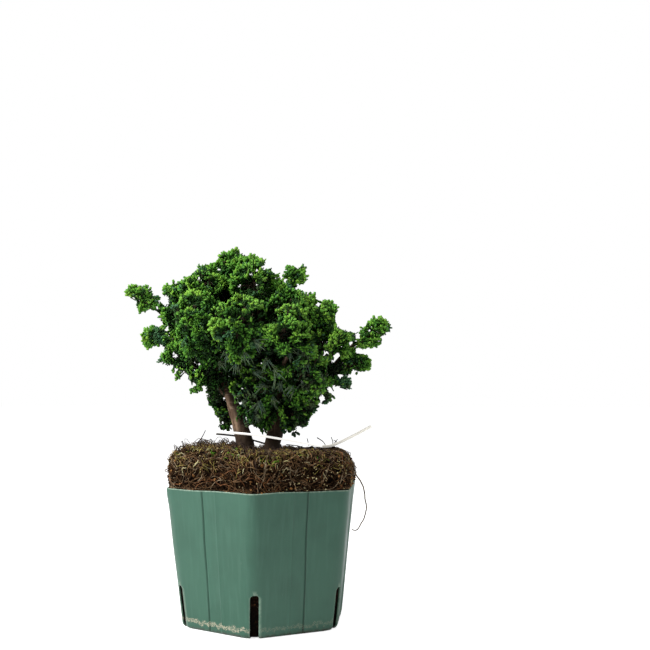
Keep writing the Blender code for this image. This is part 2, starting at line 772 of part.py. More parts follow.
def make_mass(name, space, stem, parts):
    """One mass: a stem into a core, and twigs standing out of it, each with a fan of two or three leaves."""
    draw = random.Random(f"{SEED} {name}")
    bright = space.centre.z > 165 or space.radius < 12
    finish = foliage_green(bright)
    base = object_of(name, core_mesh(name, space, parts, draw), finish)
    pieces = bpy.data.collections.new(name + "_pieces")
    object_of("stem", stem_mesh(*stem), finish, pieces)
    area = 4 * math.pi * space.radius * (space.radius + space.half.length)
    count = LEAST_TWIGS + round(TWIGS_PER_AREA * area)
    full = SPRAY_LENGTH * min(1.0, space.radius / FULL_SIZE_RADIUS)
    total = 0
    for out in even_ways(count, draw):
        spray, leaves = fitted_spray(space, out, full, parts, draw)
        if spray:
            object_of("spray", spray, finish, pieces)
            total += leaves
    apply_boolean(base, "UNION", pieces, "MANIFOLD")
    keep_largest_part(base.data)
    for piece in list(pieces.objects):
        bpy.data.objects.remove(piece)
    bpy.data.collections.remove(pieces)
    return total


def make_foliage(lines):
    """Every mass in its own space, clear of the limbs and of the other masses' stems."""
    spaces = {name: Space(name) for name in MASSES}
    for name, space in spaces.items():
        for other in spaces.values():
            if other.name != name:
                space.part_from(other)
    parts = limb_parts(lines)
    solids = [bpy.data.objects[name].data for name in lines]
    stems = {}
    for name, space in spaces.items():
        stems[name] = make_stem(name, space, lines, solids)
        solids.append(stem_mesh(*stems[name]))
    leaves = 0
    for name, space in spaces.items():
        others = [(*stem, STEM_RADIUS) for other, stem in stems.items() if other != name]
        leaves += make_mass(name, space, stems[name], parts + others)
    return leaves


def make_tie_strip():
    """The strip's flat section carried along its V, thinner than it is wide."""
    spots = along_stops([(*stop, 1.0) for stop in TIE_STOPS], TIE_RINGS)
    rings = []
    for i, spot in enumerate(spots):
        along = (spots[min(i + 1, TIE_RINGS)].xyz - spots[max(i - 1, 0)].xyz).normalized()
        side = along.cross(Vector((0, 0, 1))).normalized()
        up = side.cross(along)
        ring = [
            spot.xyz + side * u * TIE_WIDTH / 2 + up * v * TIE_THICK / 2
            for u, v in ((-1, -1), (1, -1), (1, 1), (-1, 1))
        ]
        rings.append([turned(p) for p in ring])
    return object_of("tie_strip", loft("tie_strip", rings), tie_white())


clear_scene()
make_pot()
make_root_ball()
limb_lines = make_limbs()
leaf_count = make_foliage(limb_lines)
make_tie_strip()
print("leaves in the foliage", leaf_count)
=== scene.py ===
"""A dwarf hinoki cypress with two stems, lifted a little out of its six-sided nursery pot.

Sizes are in millimetres and become metres as each mesh is made. x runs to the right, y away from the
viewpoint, z up from the pot's underside.
"""

import math

import bpy
import numpy as np
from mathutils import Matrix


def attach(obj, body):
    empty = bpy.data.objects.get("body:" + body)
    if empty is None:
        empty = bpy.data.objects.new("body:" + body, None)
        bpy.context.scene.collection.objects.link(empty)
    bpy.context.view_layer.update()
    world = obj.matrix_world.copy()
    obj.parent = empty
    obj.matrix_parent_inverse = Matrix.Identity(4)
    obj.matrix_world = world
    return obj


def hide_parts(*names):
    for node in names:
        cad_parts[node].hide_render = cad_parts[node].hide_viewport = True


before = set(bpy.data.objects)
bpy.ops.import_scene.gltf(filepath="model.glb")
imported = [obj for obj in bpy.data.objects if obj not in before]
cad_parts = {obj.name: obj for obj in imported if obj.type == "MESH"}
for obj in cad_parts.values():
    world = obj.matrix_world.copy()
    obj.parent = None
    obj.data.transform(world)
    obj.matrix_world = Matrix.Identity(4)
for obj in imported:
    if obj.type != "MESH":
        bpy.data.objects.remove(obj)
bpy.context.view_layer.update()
MM = 0.001
CORNER = math.pi / 3  # from one corner of the pot to the next
LEAN = math.pi / 6  # from a corner's direction to the square of its side
VIEW_TURN = math.radians(4.6)  # the plant and the viewpoint are turned this far from the pot's front corner
ASIDE, DISTANCE, EYE = 39.1, 672.0, 157.6  # the viewpoint: right of the axis, in front of it, and its height


# The pot is a thin six-sided tub of blow-moulded green plastic, tapered so that pots nest.
# A band runs down each side between a groove and a low ridge, and the corners have drainage slits
# cut from the foot up. The rim is a plain cut edge that has warped a little.
POT_HEIGHT = 86.4
RIM_REACH, FOOT_REACH = 64.4, 53.5  # axis to a rounded corner
RIM_ROUND, FOOT_CORNER_ROUND, FOOT_ROUND = 8.0, 15.0, 2.4
WALL, FLOOR = 1.1, 1.6
RIM_EDGE = 0.45  # the cut edge is rounded over by this much
BAND_EDGES = (5.7, 5.2, 4.95, 4.7, 4.45, 4.1, 3.0, 1.5, 0.0)  # from beside the band to the middle of the side
GROOVE = (0.0, 0.0, 0.75, 0.85, 0.75, 0.3, 0.3, 0.3, 0.3)  # depths there, on the side that has the groove
RIDGE = (0.0, -0.12, -0.14, 0.1, 0.24, 0.3, 0.3, 0.3, 0.3)  # and on the side that has the ridge
SLIT_HALF, SLIT_TOP, SLIT_TOP_ROUND = 3.3, 26.3, 2.4
SLIT_ASIDE, ASIDE_TOP = 2.4, 62.0  # how far round from the corners the slits stand, and where that ends
SLIT_INNER = 36.0  # axis to the slit's end under the foot


def smooth_step(low, high, value):
    """0 below low, 1 above high, and 3t^2 - 2t^3 between them."""
    t = np.clip((np.asarray(value) - low) / (high - low), 0, 1)
    return t * t * (3 - 2 * t)


LATTICE_SIDE = 64
LATTICE = np.random.default_rng(3).uniform(-1, 1, (LATTICE_SIDE,) * 3)


def drift(points, size):
    """Smooth noise from -1 to 1: seeded values on a cubic lattice of one size, blended by 3t^2 - 2t^3
    between them."""
    at = np.asarray(points) / size
    cell = np.floor(at).astype(int)
    t = at - cell
    t = t * t * (3 - 2 * t)
    total = 0
    for corner in np.ndindex(2, 2, 2):
        weight = np.prod(np.where(corner, t, 1 - t), axis=-1)
        i, j, k = np.moveaxis((cell + corner) % LATTICE_SIDE, -1, 0)
        total = total + weight * LATTICE[i, j, k]
    return total


def outline(across, apothem, corner_round):
    """Axis to the outline, along a corner's direction, at a distance across from it: a circle's arc at the
    corner, then the straight side that falls back at 30 degrees."""
    arc = (apothem - corner_round) / math.cos(LEAN)
    arc = arc + np.sqrt(np.maximum(corner_round**2 - across**2, 0))
    side = (apothem - np.abs(across) * math.sin(LEAN)) / math.cos(LEAN)
    return np.where(np.abs(across) <= corner_round * math.sin(LEAN), arc, side)


def pot_level(height, inset):
    """Apothem and corner rounding of the pot's outside at a height, drawn in by an inset."""
    t = height / POT_HEIGHT
    corner_round = FOOT_CORNER_ROUND + (RIM_ROUND - FOOT_CORNER_ROUND) * t
    reach = FOOT_REACH + (RIM_REACH - FOOT_REACH) * t
    apothem = (reach + corner_round * (1 / math.cos(LEAN) - 1)) * math.cos(LEAN) - inset
    return apothem, np.maximum(corner_round - inset, 1.0)


def round_the_pot(reach, across, height):
    """Six copies of a corner's points, each turned by 60 degrees. The last column is left out, as it is the
    next corner's first."""
    copies = []
    for k in range(6):
        a = -math.pi / 2 + k * CORNER
        x = reach * math.cos(a) - across * math.sin(a)
        y = reach * math.sin(a) + across * math.cos(a)
        copies.append(np.stack([x, y, height + 0 * x], axis=-1)[:, :-1])
    return np.concatenate(copies, axis=1)


def pot_shell(inset, height, slit_half, band):
    """Half of a corner of one skin of the pot, twice, with the groove's edge and with the ridge's: reach and
    distance across, row by row. Columns run from the corner to the side's middle, close together at the slit
    and at the band's edges."""
    apothem, corner_round = pot_level(height, inset)
    apothem, corner_round, slit_half = apothem[:, None], corner_round[:, None], slit_half[:, None]
    middle = apothem / 2
    near_slit = slit_half * np.array([0, 0.5, 1])
    beside = slit_half + np.array([[0.3, 0.7, 1.4]])
    first = middle - BAND_EDGES[0] * math.cos(LEAN)
    plain = beside[:, -1:] + (first - beside[:, -1:]) * np.linspace(0, 1, 9)[1:-1]
    band_at = middle - np.array(BAND_EDGES) * math.cos(LEAN)
    half = np.concatenate([near_slit, beside, plain, band_at], axis=1)
    reach = outline(half, apothem, corner_round)
    count = len(BAND_EDGES)
    sides = []
    for profile in (GROOVE, RIDGE):
        depth = np.zeros_like(half)
        depth[:, -count:] = np.array(profile) * band[:, None]
        sides.append((reach - depth * math.cos(LEAN), half - depth * math.sin(LEAN)))
    return sides


def pot_skin(inset, height, slit_half, band):
    """One skin all round: corners take turns to have the groove on their left and on their right. Low down,
    the columns are moved round by SLIT_ASIDE at the corner, and by less towards the sides' middles."""
    (groove_reach, groove_at), (ridge_reach, ridge_at) = pot_shell(inset, height, slit_half, band)
    apothem, corner_round = [size[:, None] for size in pot_level(height, inset)]
    aside = SLIT_ASIDE * (1 - smooth_step(SLIT_TOP + 2, ASIDE_TOP, height))[:, None]
    skins = []
    for reach, at in ((ridge_reach, ridge_at), (groove_reach, groove_at)):
        both_reach = np.concatenate([reach[:, :0:-1], reach], axis=1)
        both_at = np.concatenate([-at[:, :0:-1], at], axis=1)
        moved = both_at + aside * (1 - np.clip(2 * both_at / apothem, -1, 1) ** 2)
        both_reach = both_reach + outline(moved, apothem, corner_round)
        both_reach = both_reach - outline(both_at, apothem, corner_round)
        both_at = moved
        skins.append(round_the_pot(both_reach, both_at, height[:, None]))
    columns = skins[0].shape[1] // 6
    parts = [skins[k % 2][:, k * columns:(k + 1) * columns] for k in range(6)]
    return np.concatenate(parts, axis=1), columns


RIM_SHIFT, FOOT_SHIFT = 0.1, 0.2  # the rim and the foot stand this far to the right
FRONT_PUSH, PUSH_WIDTH = 2.2, 36.0  # the rim's front corner has been pushed to the right
MEAN_REACH = 58.0  # from the axis to the wall, as a mean for the whole pot
WALL_WAVE, WALL_WAVE_SIZE = 0.22, 24.0  # how far the wall waves in and out, and over how far
RIM_WAVE, RIM_WAVE_SIZE = 0.42, 11.0  # what the rim adds to that
RIM_RISE, RIM_RISE_SIZE = 0.35, 13.0  # how far the rim's edge rises and falls, and over how far
FRONT_RISE = 0.6  # what the rim's front corner adds to that


def twisted(points):
    """Moved aside by a share of the foot's and the rim's shifts, and pushed at the front by a bell curve that
    fades down the wall. The rim's shift fades out just above the rim, where the ball stands."""
    x, y, z = np.moveaxis(points, -1, 0)
    share = np.clip(z / POT_HEIGHT, 0, 1)
    push = FRONT_PUSH * share * np.exp(-((x + 5) / PUSH_WIDTH) ** 2) * smooth_step(25, -25, y)
    held = 1 - smooth_step(POT_HEIGHT + 1, POT_HEIGHT + 6, z)
    return np.stack([x + push + FOOT_SHIFT * (1 - share) + RIM_SHIFT * share * held, y, z], axis=-1)


def warped(points):
    """The wall waves in and out by slow noise, most of all at the rim, where the edge rises and falls too."""
    flat = points[..., :2] / np.maximum(np.linalg.norm(points[..., :2], axis=-1, keepdims=True), 1e-6)
    height = points[..., 2]
    place = np.concatenate([flat * MEAN_REACH, height[..., None]], axis=-1)
    wave = WALL_WAVE * smooth_step(4, 30, height) * drift(place, WALL_WAVE_SIZE)
    rim = smooth_step(66, 85, height)
    wave = wave + RIM_WAVE * rim * drift(place + 40, RIM_WAVE_SIZE)
    lift = RIM_RISE * drift(place * (1, 1, 0) + 90, RIM_RISE_SIZE)
    lift = rim * (lift + FRONT_RISE * smooth_step(-44, -58, points[..., 1]))
    return twisted(points + np.concatenate([flat * wave[..., None], lift[..., None]], axis=-1))


def grid_faces(rows, columns):
    """The corners of each quad of a grid of points, by row and column. The last column is joined to the
    first."""
    at = np.arange(columns)
    a = np.arange(rows - 1)[:, None] * columns + at
    b = np.arange(rows - 1)[:, None] * columns + (at + 1) % columns
    return np.stack([a, b, b + columns, a + columns], axis=-1)


def made_piece(name, points, faces, finish, turn=0.0):
    """A smooth-shaded object from whole arrays: points in millimetres, turned about the pot's axis, and a
    list of arrays of face corners."""
    points = np.asarray(points, float).reshape(-1, 3) * MM
    if turn:
        c, s = math.cos(turn), math.sin(turn)
        points = points @ np.array([[c, s, 0], [-s, c, 0], [0, 0, 1]])
    faces = [np.asarray(part).reshape(-1, np.shape(part)[-1]) for part in faces]
    corners = np.concatenate([part.ravel() for part in faces])
    sizes = np.concatenate([np.full(len(part), part.shape[1]) for part in faces])
    mesh = bpy.data.meshes.new(name)
    mesh.vertices.add(len(points))
    mesh.vertices.foreach_set("co", points.ravel())
    mesh.loops.add(len(corners))
    mesh.loops.foreach_set("vertex_index", corners.astype(np.int32))
    mesh.polygons.add(len(sizes))
    mesh.polygons.foreach_set("loop_start", (np.cumsum(sizes) - sizes).astype(np.int32))
    mesh.update(calc_edges=True)
    mesh.validate()
    mesh.shade_smooth()
    mesh.materials.append(finish)
    piece = bpy.data.objects.new(name, mesh)
    bpy.context.scene.collection.objects.link(piece)
    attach(piece, "root")
    return piece


def give_points(piece, name, values):
    """Keeps one number for each point of a piece, for its finish to read."""
    layer = piece.data.attributes.new(name, "FLOAT", "POINT")
    layer.data.foreach_set("value", np.asarray(values, np.float32).ravel())


def node(tree, kind, inputs=None, **settings):
    """Adds a shader node, sets its fields, and fills its inputs with numbers, colours or other nodes'
    outputs."""
    made = tree.nodes.new("ShaderNode" + kind)
    for key, value in settings.items():
        setattr(made, key, value)
    for key, value in (inputs or {}).items():
        if isinstance(value, bpy.types.NodeSocket):
            tree.links.new(value, made.inputs[key])
        else:
            made.inputs[key].default_value = value
    return made


def laid_over(tree, share, under, over):
    """One colour laid over another by a share."""
    return node(tree, "Mix", {0: share, 6: under, 7: over}, data_type="RGBA").outputs[2]


def times(tree, a, b, operation="MULTIPLY"):
    """Two numbers multiplied, or put together by another operation."""
    return node(tree, "Math", {0: a, 1: b}, operation=operation).outputs[0]


def between(tree, value, low, high, start=0.0, end=1.0):
    """A value carried from one range to another and held inside it."""
    limits = {"Value": value, "From Min": low, "From Max": high, "To Min": start, "To Max": end}
    return node(tree, "MapRange", limits, interpolation_type="SMOOTHSTEP").outputs[0]


def attribute(tree, name):
    """The number that a piece keeps for each of its points under a name."""
    return node(tree, "Attribute", attribute_name=name).outputs["Fac"]


def grain(tree, place, scale, detail=4.0, stretch=(1, 1, 1)):
    """Noise on a piece's own coordinates, with its features drawn out or pressed together along each axis."""
    at = node(tree, "Mapping", {"Vector": place, "Scale": stretch}).outputs[0]
    return node(tree, "TexNoise", {"Vector": at, "Scale": scale, "Detail": detail}).outputs["Fac"]


def new_finish(name, roughness, shine=0.5):
    """A finish with nothing on it yet, and what is needed to build it up."""
    made = bpy.data.materials.new(name)
    made.use_nodes = True
    tree = made.node_tree
    shader = tree.nodes["Principled BSDF"]
    shader.inputs["Roughness"].default_value = roughness
    shader.inputs["Specular IOR Level"].default_value = shine
    return made, tree, shader, node(tree, "TexCoord").outputs["Object"]


def coloured(tree, shader, colour):
    """Gives a finish its colour."""
    tree.links.new(colour, shader.inputs["Base Color"])


def roughened(tree, shader, height, distance, strength):
    """Lets a height pattern stand out of the surface by a distance in millimetres."""
    bump = node(tree, "Bump", {"Strength": strength, "Distance": distance * MM, "Height": height})
    tree.links.new(bump.outputs[0], shader.inputs["Normal"])


LIME_FOOT, LIME_TOP = (0.0038, 0.0043), (0.0060, 0.0070)  # metres up: where each edge of the lime fades
LIME_SWAY = 0.0011  # how far those edges wave up and down
GRIME = (0.0005, 0.0032)  # metres up: where the dirt at the foot fades


def pot_plastic():
    """Grey-green plastic: faint clouds and drawn-down streaks, painted shade in the grooves, pale wear on
    cut edges, a broken line of lime near the foot, and a few scuffs."""
    made, tree, shader, place = new_finish("pot_green_plastic_worn", 0.4, 0.42)
    cloud = grain(tree, place, 45, 5)
    streak = grain(tree, place, 420, 3, (1, 1, 0.03))
    share = between(tree, cloud, 0.35, 0.65)
    colour = laid_over(tree, share, (0.033, 0.107, 0.069, 1), (0.041, 0.123, 0.081, 1))
    colour = laid_over(tree, between(tree, streak, 0.45, 0.75, 0, 0.35), colour, (0.060, 0.155, 0.108, 1))
    # painted shade: the grooves are darkened, more at one groove of each pair than at the other
    groove_shade = attribute(tree, "groove_shade")
    colour = laid_over(tree, times(tree, groove_shade, 0.45), colour, (0.010, 0.024, 0.018, 1))
    parts = node(tree, "SeparateXYZ", {0: place}).outputs
    sway = grain(tree, place, 330, 5, (1, 1, 0.3))
    line = times(tree, parts["Z"], between(tree, sway, 0.3, 0.7, -LIME_SWAY, LIME_SWAY), "ADD")
    above = between(tree, line, *LIME_FOOT)
    below = between(tree, line, *LIME_TOP, 1.0, 0.0)
    broken = between(tree, grain(tree, place, 1300, 6, (1, 1, 1.6)), 0.44, 0.56)
    left = between(tree, parts["X"], -0.006, 0.004, 1.0, 0.22)
    broken = times(tree, broken, left)
    lime = times(tree, times(tree, above, below), broken)
    colour = laid_over(tree, times(tree, lime, 0.85), colour, (0.50, 0.45, 0.33, 1))
    grime = times(tree, between(tree, parts["Z"], *GRIME, 1.0, 0.0), between(tree, sway, 0.35, 0.6))
    colour = laid_over(tree, times(tree, grime, 0.7), colour, (0.045, 0.026, 0.014, 1))
    scuff = between(tree, grain(tree, place, 150, 6, (1, 1, 0.35)), 0.69, 0.76)
    colour = laid_over(tree, times(tree, scuff, 0.35), colour, (0.22, 0.31, 0.26, 1))
    wear = attribute(tree, "wear")
    worn = times(tree, wear, between(tree, grain(tree, place, 600, 3), 0.35, 0.65, 0.45, 1.0))
    colour = laid_over(tree, times(tree, worn, 0.8), colour, (0.33, 0.42, 0.33, 1))
    coloured(tree, shader, colour)
    dull = times(tree, times(tree, lime, worn, "MAXIMUM"), 0.4)
    rough = times(tree, between(tree, cloud, 0.3, 0.7, 0.34, 0.46), dull, "ADD")
    tree.links.new(rough, shader.inputs["Roughness"])
    roughened(tree, shader, times(tree, streak, cloud, "ADD"), 0.10, 0.5)
    return made


STRAIGHT_ROWS = 10  # rows of points up the straight part of a slit
SLIT_COLUMNS = 2  # columns from a slit's middle to its side
GROOVE_COLUMNS = (4, 5, 6)  # from a side's middle to the painted shade in its groove
EDGE_SHARES = (0.15, 0.5, 0.85)  # rows over the cut edge, by how far across it they lie
MIDDLE_SHARES = (0.66, 0.33, 0.02)  # rows under the foot, by how far they lie from its middle
turns = np.radians(np.linspace(0, 90, 8))
arc_turns = np.radians(np.linspace(12, 90, 6))
flat_insets = np.linspace(pot_level(0, 0)[0] - 1 - (SLIT_INNER - 1) * math.cos(LEAN), FOOT_ROUND, 5)[:-1]
wall_heights = np.concatenate(
    [
        np.linspace(FOOT_ROUND, SLIT_TOP - SLIT_TOP_ROUND, STRAIGHT_ROWS + 1)[1:],
        SLIT_TOP - SLIT_TOP_ROUND + SLIT_TOP_ROUND * np.sin(arc_turns),
        np.linspace(SLIT_TOP, POT_HEIGHT - 1.4, 40)[1:],
        [POT_HEIGHT - 0.9, POT_HEIGHT - RIM_EDGE],
    ]
)
slit_last = len(flat_insets) + len(turns) + STRAIGHT_ROWS + len(arc_turns) - 1  # the row of the slit's top
skins = []
for outside in (True, False):
    off, foot, bend = (0.0, 0.0, FOOT_ROUND) if outside else (WALL, FLOOR, FOOT_ROUND - WALL)
    inset = np.concatenate([flat_insets, off + bend * (1 - np.sin(turns)), np.full(len(wall_heights), off)])
    bent = foot + bend * (1 - np.cos(turns))
    height = np.concatenate([np.full(len(flat_insets), foot), bent, wall_heights])
    over = np.clip(height - (SLIT_TOP - SLIT_TOP_ROUND), 0, SLIT_TOP_ROUND)
    slit_half = SLIT_HALF - SLIT_TOP_ROUND + np.sqrt(SLIT_TOP_ROUND**2 - over**2)
    slit_half = slit_half + (SLIT_HALF - slit_half) * smooth_step(SLIT_TOP, SLIT_TOP + 6, height)
    band = smooth_step(0.0, FOOT_ROUND, height) if outside else np.zeros_like(height)
    skin, columns = pot_skin(inset, height, slit_half, band)
    skins.append(skin)
outer, inner = skins
rows, around = outer.shape[:2]
edge = []
for share in EDGE_SHARES:
    rise = RIM_EDGE * math.sin(math.pi * share)
    edge.append(outer[-1] + (inner[-1] - outer[-1]) * (1 - math.cos(math.pi * share)) / 2 + (0, 0, rise))
middles = [[skin[0] * (share, share, 1) for share in MIDDLE_SHARES] for skin in skins]
shell = np.concatenate([middles[0][::-1], outer, edge, inner[::-1], middles[1]])
shell_rows = len(shell)
first_outer = len(MIDDLE_SHARES)
first_rim = first_outer + rows
first_inner = first_rim + len(EDGE_SHARES)
corner_columns = np.arange(6) * columns + (columns - 1) // 2
slit_columns = (corner_columns[:, None] + np.arange(-SLIT_COLUMNS, SLIT_COLUMNS)).ravel()
quads = grid_faces(shell_rows, around)
keep = np.ones(quads.shape[:2], bool)
for row in range(slit_last):
    keep[first_outer + row, slit_columns] = False
    keep[first_inner + rows - 2 - row, slit_columns] = False


def outer_at(row, column):
    """The number of a point of the outer skin, by its row from the foot up."""
    return (first_outer + row) * around + column


def inner_at(row, column):
    """The same on the inner skin."""
    return (first_inner + rows - 1 - row) * around + column


up = np.arange(slit_last)
cuts = []  # the faces of the wall's thickness at each slit: its two sides, its top and its end under the foot
for middle in corner_columns:
    left, right = middle - SLIT_COLUMNS, middle + SLIT_COLUMNS
    over = np.arange(left, right)
    cuts += [
        (outer_at(up, left), inner_at(up, left), inner_at(up + 1, left), outer_at(up + 1, left)),
        (outer_at(up, right), outer_at(up + 1, right), inner_at(up + 1, right), inner_at(up, right)),
        (outer_at(slit_last, over), inner_at(slit_last, over),
         inner_at(slit_last, over + 1), outer_at(slit_last, over + 1)),
        (outer_at(0, over), outer_at(0, over + 1), inner_at(0, over + 1), inner_at(0, over)),
    ]
cuts = [np.stack(corners, axis=-1) for corners in cuts]
ends = [np.arange(around)[None, ::-1], np.arange(around)[None] + (shell_rows - 1) * around]
wear = np.zeros((shell_rows, around))
wear[first_rim:first_inner] = 1.0
wear[[first_rim - 1, first_inner]] = 0.7
slit_rows = slice(first_outer + 5, first_outer + slit_last + 1)
for side in (-1, 1):
    edge_columns = corner_columns + side * SLIT_COLUMNS
    wear[slit_rows, edge_columns] = 0.7
    wear[slit_rows, edge_columns + side] = 0.15
wear[first_outer + slit_last, slit_columns] = 1.0
wear[first_outer + slit_last + 1, slit_columns] = 0.5
# Painted shade along the grooves: full at one groove of each pair, lighter at the other.
groove_shade = np.zeros((shell_rows, around))
for k in range(1, 6, 2):
    for column, side, groove_darkness in ((k * columns, 1, 1.0), (k * columns + columns, -1, 0.6)):
        for step in GROOVE_COLUMNS:
            groove_shade[first_outer + 8:first_rim, (column + side * step) % around] = groove_darkness
pot = made_piece("pot_tub", warped(shell), [quads[keep], *cuts, *ends], pot_plastic())
give_points(pot, "wear", wear)
give_points(pot, "groove_shade", groove_shade)
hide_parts("pot")


# The root ball fills the pot and stands a finger's width above the rim: dark peat and bark chips, bound by
# roots that have grown round against the pot's wall. It keeps the pot's six sides, with rounder edges.
BALL_TOP, BALL_PROUD_REACH, BALL_PROUD_FROM = 109.5, 62.0, 88.4
BALL_CORNER_ROUND, BALL_EDGE_ROUND = 16.0, 9.0
BALL_GAP = 1.5  # from the pot's outside, through its wall, to the ball
BALL_FOOT, BALL_FOOT_ROUND = 0.12, 0.7  # it has settled into the slits, down to the ground
BALL_SIDE_TOP = BALL_TOP - BALL_EDGE_ROUND


def ball_profile():
    """The ball's outline from the foot's middle to the top's middle, by distance up the side from the rim:
    columns are distance, apothem, corner rounding, height and how far the surface faces up."""
    spots = []
    for inset in (50.0, 30.0, 12.0):
        spots.append((*pot_level(BALL_FOOT, BALL_GAP + inset), BALL_FOOT, -math.pi / 2))
    for a in np.radians(np.linspace(0, 90, 5)):
        height = BALL_FOOT + BALL_FOOT_ROUND * (1 - math.cos(a))
        inset = BALL_GAP + BALL_FOOT_ROUND * (1 - math.sin(a))
        spots.append((*pot_level(height, inset), height, a - math.pi / 2))
    for height in np.linspace(12, POT_HEIGHT - 0.8, 20):
        spots.append((*pot_level(height, BALL_GAP), height, 0.0))
    in_pot = len(spots)
    proud = (BALL_PROUD_REACH + BALL_CORNER_ROUND * (1 / math.cos(LEAN) - 1)) * math.cos(LEAN)
    for height in np.linspace(BALL_PROUD_FROM, BALL_SIDE_TOP, 8):
        spots.append((proud, BALL_CORNER_ROUND, height, 0.0))
    for a in np.radians(np.linspace(10, 90, 9)):
        inset = BALL_EDGE_ROUND * (1 - math.cos(a))
        height = BALL_SIDE_TOP + BALL_EDGE_ROUND * math.sin(a)
        spots.append((proud - inset, max(BALL_CORNER_ROUND - inset, 1), height, a))
    for share in (0.75, 0.5, 0.25, 0.02):
        corner_round = BALL_CORNER_ROUND / 2 * share
        spots.append(((proud - BALL_EDGE_ROUND) * share, corner_round, BALL_TOP, math.pi / 2))
    spots = np.array(spots)
    steps = np.hypot(np.diff(spots[:, 0]), np.diff(spots[:, 2]))
    far = np.concatenate([[0], np.cumsum(steps)])
    rim = np.interp(POT_HEIGHT, spots[:in_pot, 2], far[:in_pot])
    return np.column_stack([far - rim, spots])


PROFILE = ball_profile()
BALL_ROUND = 2 * math.pi * MEAN_REACH  # about the way round it
BALL_LUMPS = ((1.2, 10.0, 0), (1.2, 4.2, 50), (0.7, 2.1, 90))  # their heights, sizes and places in the noise
# How far the top has sunk at its middle, and how much more towards the back, by the place from left to right.
SUNK_MIDDLE = ((-60, 1.2), (-28, 2.0), (-16, 3.8), (0, 4.4), (8, 3.0), (20, 2.0), (60, 1.6))
SUNK_BACK = ((-60, 0.4), (-24, 1.0), (-16, 2.2), (0, 2.6), (8, 3.4), (40, 3.0), (60, 4.0))
RIGHT_FALL = 3.4  # the right corner's edge has crumbled
RIGHT_BULGE, LEFT_BULGE = 0.8, 0.7  # how far those corners' sides stand out


def on_ball(turn, rise):
    """Points and outward directions on the ball: turn from 0 to 1 goes round it from the front corner, and
    rise is the distance up its side from the rim, over the edge and in to the top's middle."""
    level = [np.interp(rise, PROFILE[:, 0], column) for column in PROFILE[:, 1:].T]
    apothem, corner_round, height, tilt = level
    corner = np.round(turn * 6)
    across = (turn * 6 - corner) * apothem
    reach = outline(across, apothem, corner_round)
    a = -math.pi / 2 + corner * CORNER
    lean = np.clip(np.arcsin(np.clip(across / corner_round, -0.5, 0.5)), -LEAN, LEAN)
    x, y = reach * np.cos(a) - across * np.sin(a), reach * np.sin(a) + across * np.cos(a)
    out = np.stack([np.cos(a + lean) * np.cos(tilt), np.sin(a + lean) * np.cos(tilt), np.sin(tilt)], axis=-1)
    return twisted(np.stack([x, y, height], axis=-1)), out


def lumps(points, rise):
    """How far the ball's skin stands in or out: large, middling and small lumps, less what has sunk, and none
    where the pot is."""
    stand = sum(height * drift(points + place, size) for height, size, place in BALL_LUMPS)
    x, y = points[..., 0], points[..., 1]
    middle, back = [np.interp(x, *np.transpose(table)) for table in (SUNK_MIDDLE, SUNK_BACK)]
    sunk = (middle * smooth_step(-40, 10, y) + back * smooth_step(0, 40, y)) * smooth_step(17, 32, rise)
    sunk = sunk + smooth_step(44, 58, x) * (RIGHT_FALL * smooth_step(7, 19, rise) - RIGHT_BULGE)
    bulge = LEFT_BULGE * smooth_step(-44, -56, x) * smooth_step(5, 12, rise) * smooth_step(30, 20, rise)
    return stand * smooth_step(0.5, 5, rise) - smooth_step(0, 4, rise) - (sunk - bulge)


PEAT_SHADE_FADE = (0.012, 0.022)  # metres up: where the painted shade at the peat's foot fades


def peat():
    """Wet peat: nearly black, with red-brown and ochre crumbs worked through it, and painted shade at its
    foot.
    """
    made, tree, shader, place = new_finish("peat", 0.95, 0.04)
    crumb = grain(tree, place, 620, 6)
    share = between(tree, crumb, 0.45, 0.68)
    colour = laid_over(tree, share, (0.004, 0.0019, 0.0010, 1), (0.026, 0.012, 0.006, 1))
    bark = between(tree, grain(tree, place, 310, 3), 0.62, 0.7)
    colour = laid_over(tree, times(tree, bark, 0.7), colour, (0.130, 0.055, 0.018, 1))
    height = node(tree, "SeparateXYZ", {0: place}).outputs["Z"]
    # painted shade: blacker low in the pot, where the peat shows through the slits
    low = between(tree, height, *PEAT_SHADE_FADE, 0.92, 0.0)
    colour = laid_over(tree, low, colour, (0.002, 0.0015, 0.001, 1))
    coloured(tree, shader, colour)
    roughened(tree, shader, crumb, 0.5, 0.9)
    return made


turn = np.linspace(0, 1, 421)[:-1]
rise = np.concatenate(
    [np.linspace(PROFILE[0, 0], -1, 30), np.arange(-0.4, 30, 0.6), np.linspace(30, PROFILE[-1, 0], 48)]
)
turn_of, rise_of = np.meshgrid(turn, rise)
points, out = on_ball(turn_of, rise_of)
points = points + out * lumps(points, rise_of)[..., None]
quads = grid_faces(len(rise), len(turn))
lids = [np.arange(len(turn))[None, ::-1], np.arange(len(turn))[None] + (len(rise) - 1) * len(turn)]
soil = made_piece("root_ball_soil", points, [quads, *lids], peat())
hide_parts("root_ball")


# The roots are a mat of thin cords, nearly black to orange, that run along the ball's sides and cross on each
# other. They have grown out of the peat and lie against its skin, where the pot's wall stopped them.
def unit(vectors):
    """Vectors of the same directions, each one long."""
    return vectors / np.maximum(np.linalg.norm(vectors, axis=-1, keepdims=True), 1e-9)


def strands(paths, radii, facing, sides=3):
    """Many thin rods in one mesh. Each path is a row of points, each with a radius and a facing direction. A
    ring of points stands square to the path there, and both ends are closed."""
    count, steps = paths.shape[:2]
    along = unit(np.gradient(paths, axis=1))
    across = unit(np.cross(along, facing))
    up = np.cross(across, along)
    a = 2 * math.pi * np.arange(sides) / sides
    ring = np.cos(a)[:, None] * across[:, :, None] + np.sin(a)[:, None] * up[:, :, None]
    points = paths[:, :, None] + ring * radii[:, :, None, None]
    quads = grid_faces(steps, sides)[None] + (np.arange(count) * steps * sides)[:, None, None, None]
    first = (np.arange(count) * steps * sides)[:, None] + np.arange(sides)
    return points, [quads[..., ::-1].reshape(-1, 4), first, first[:, ::-1] + (steps - 1) * sides]


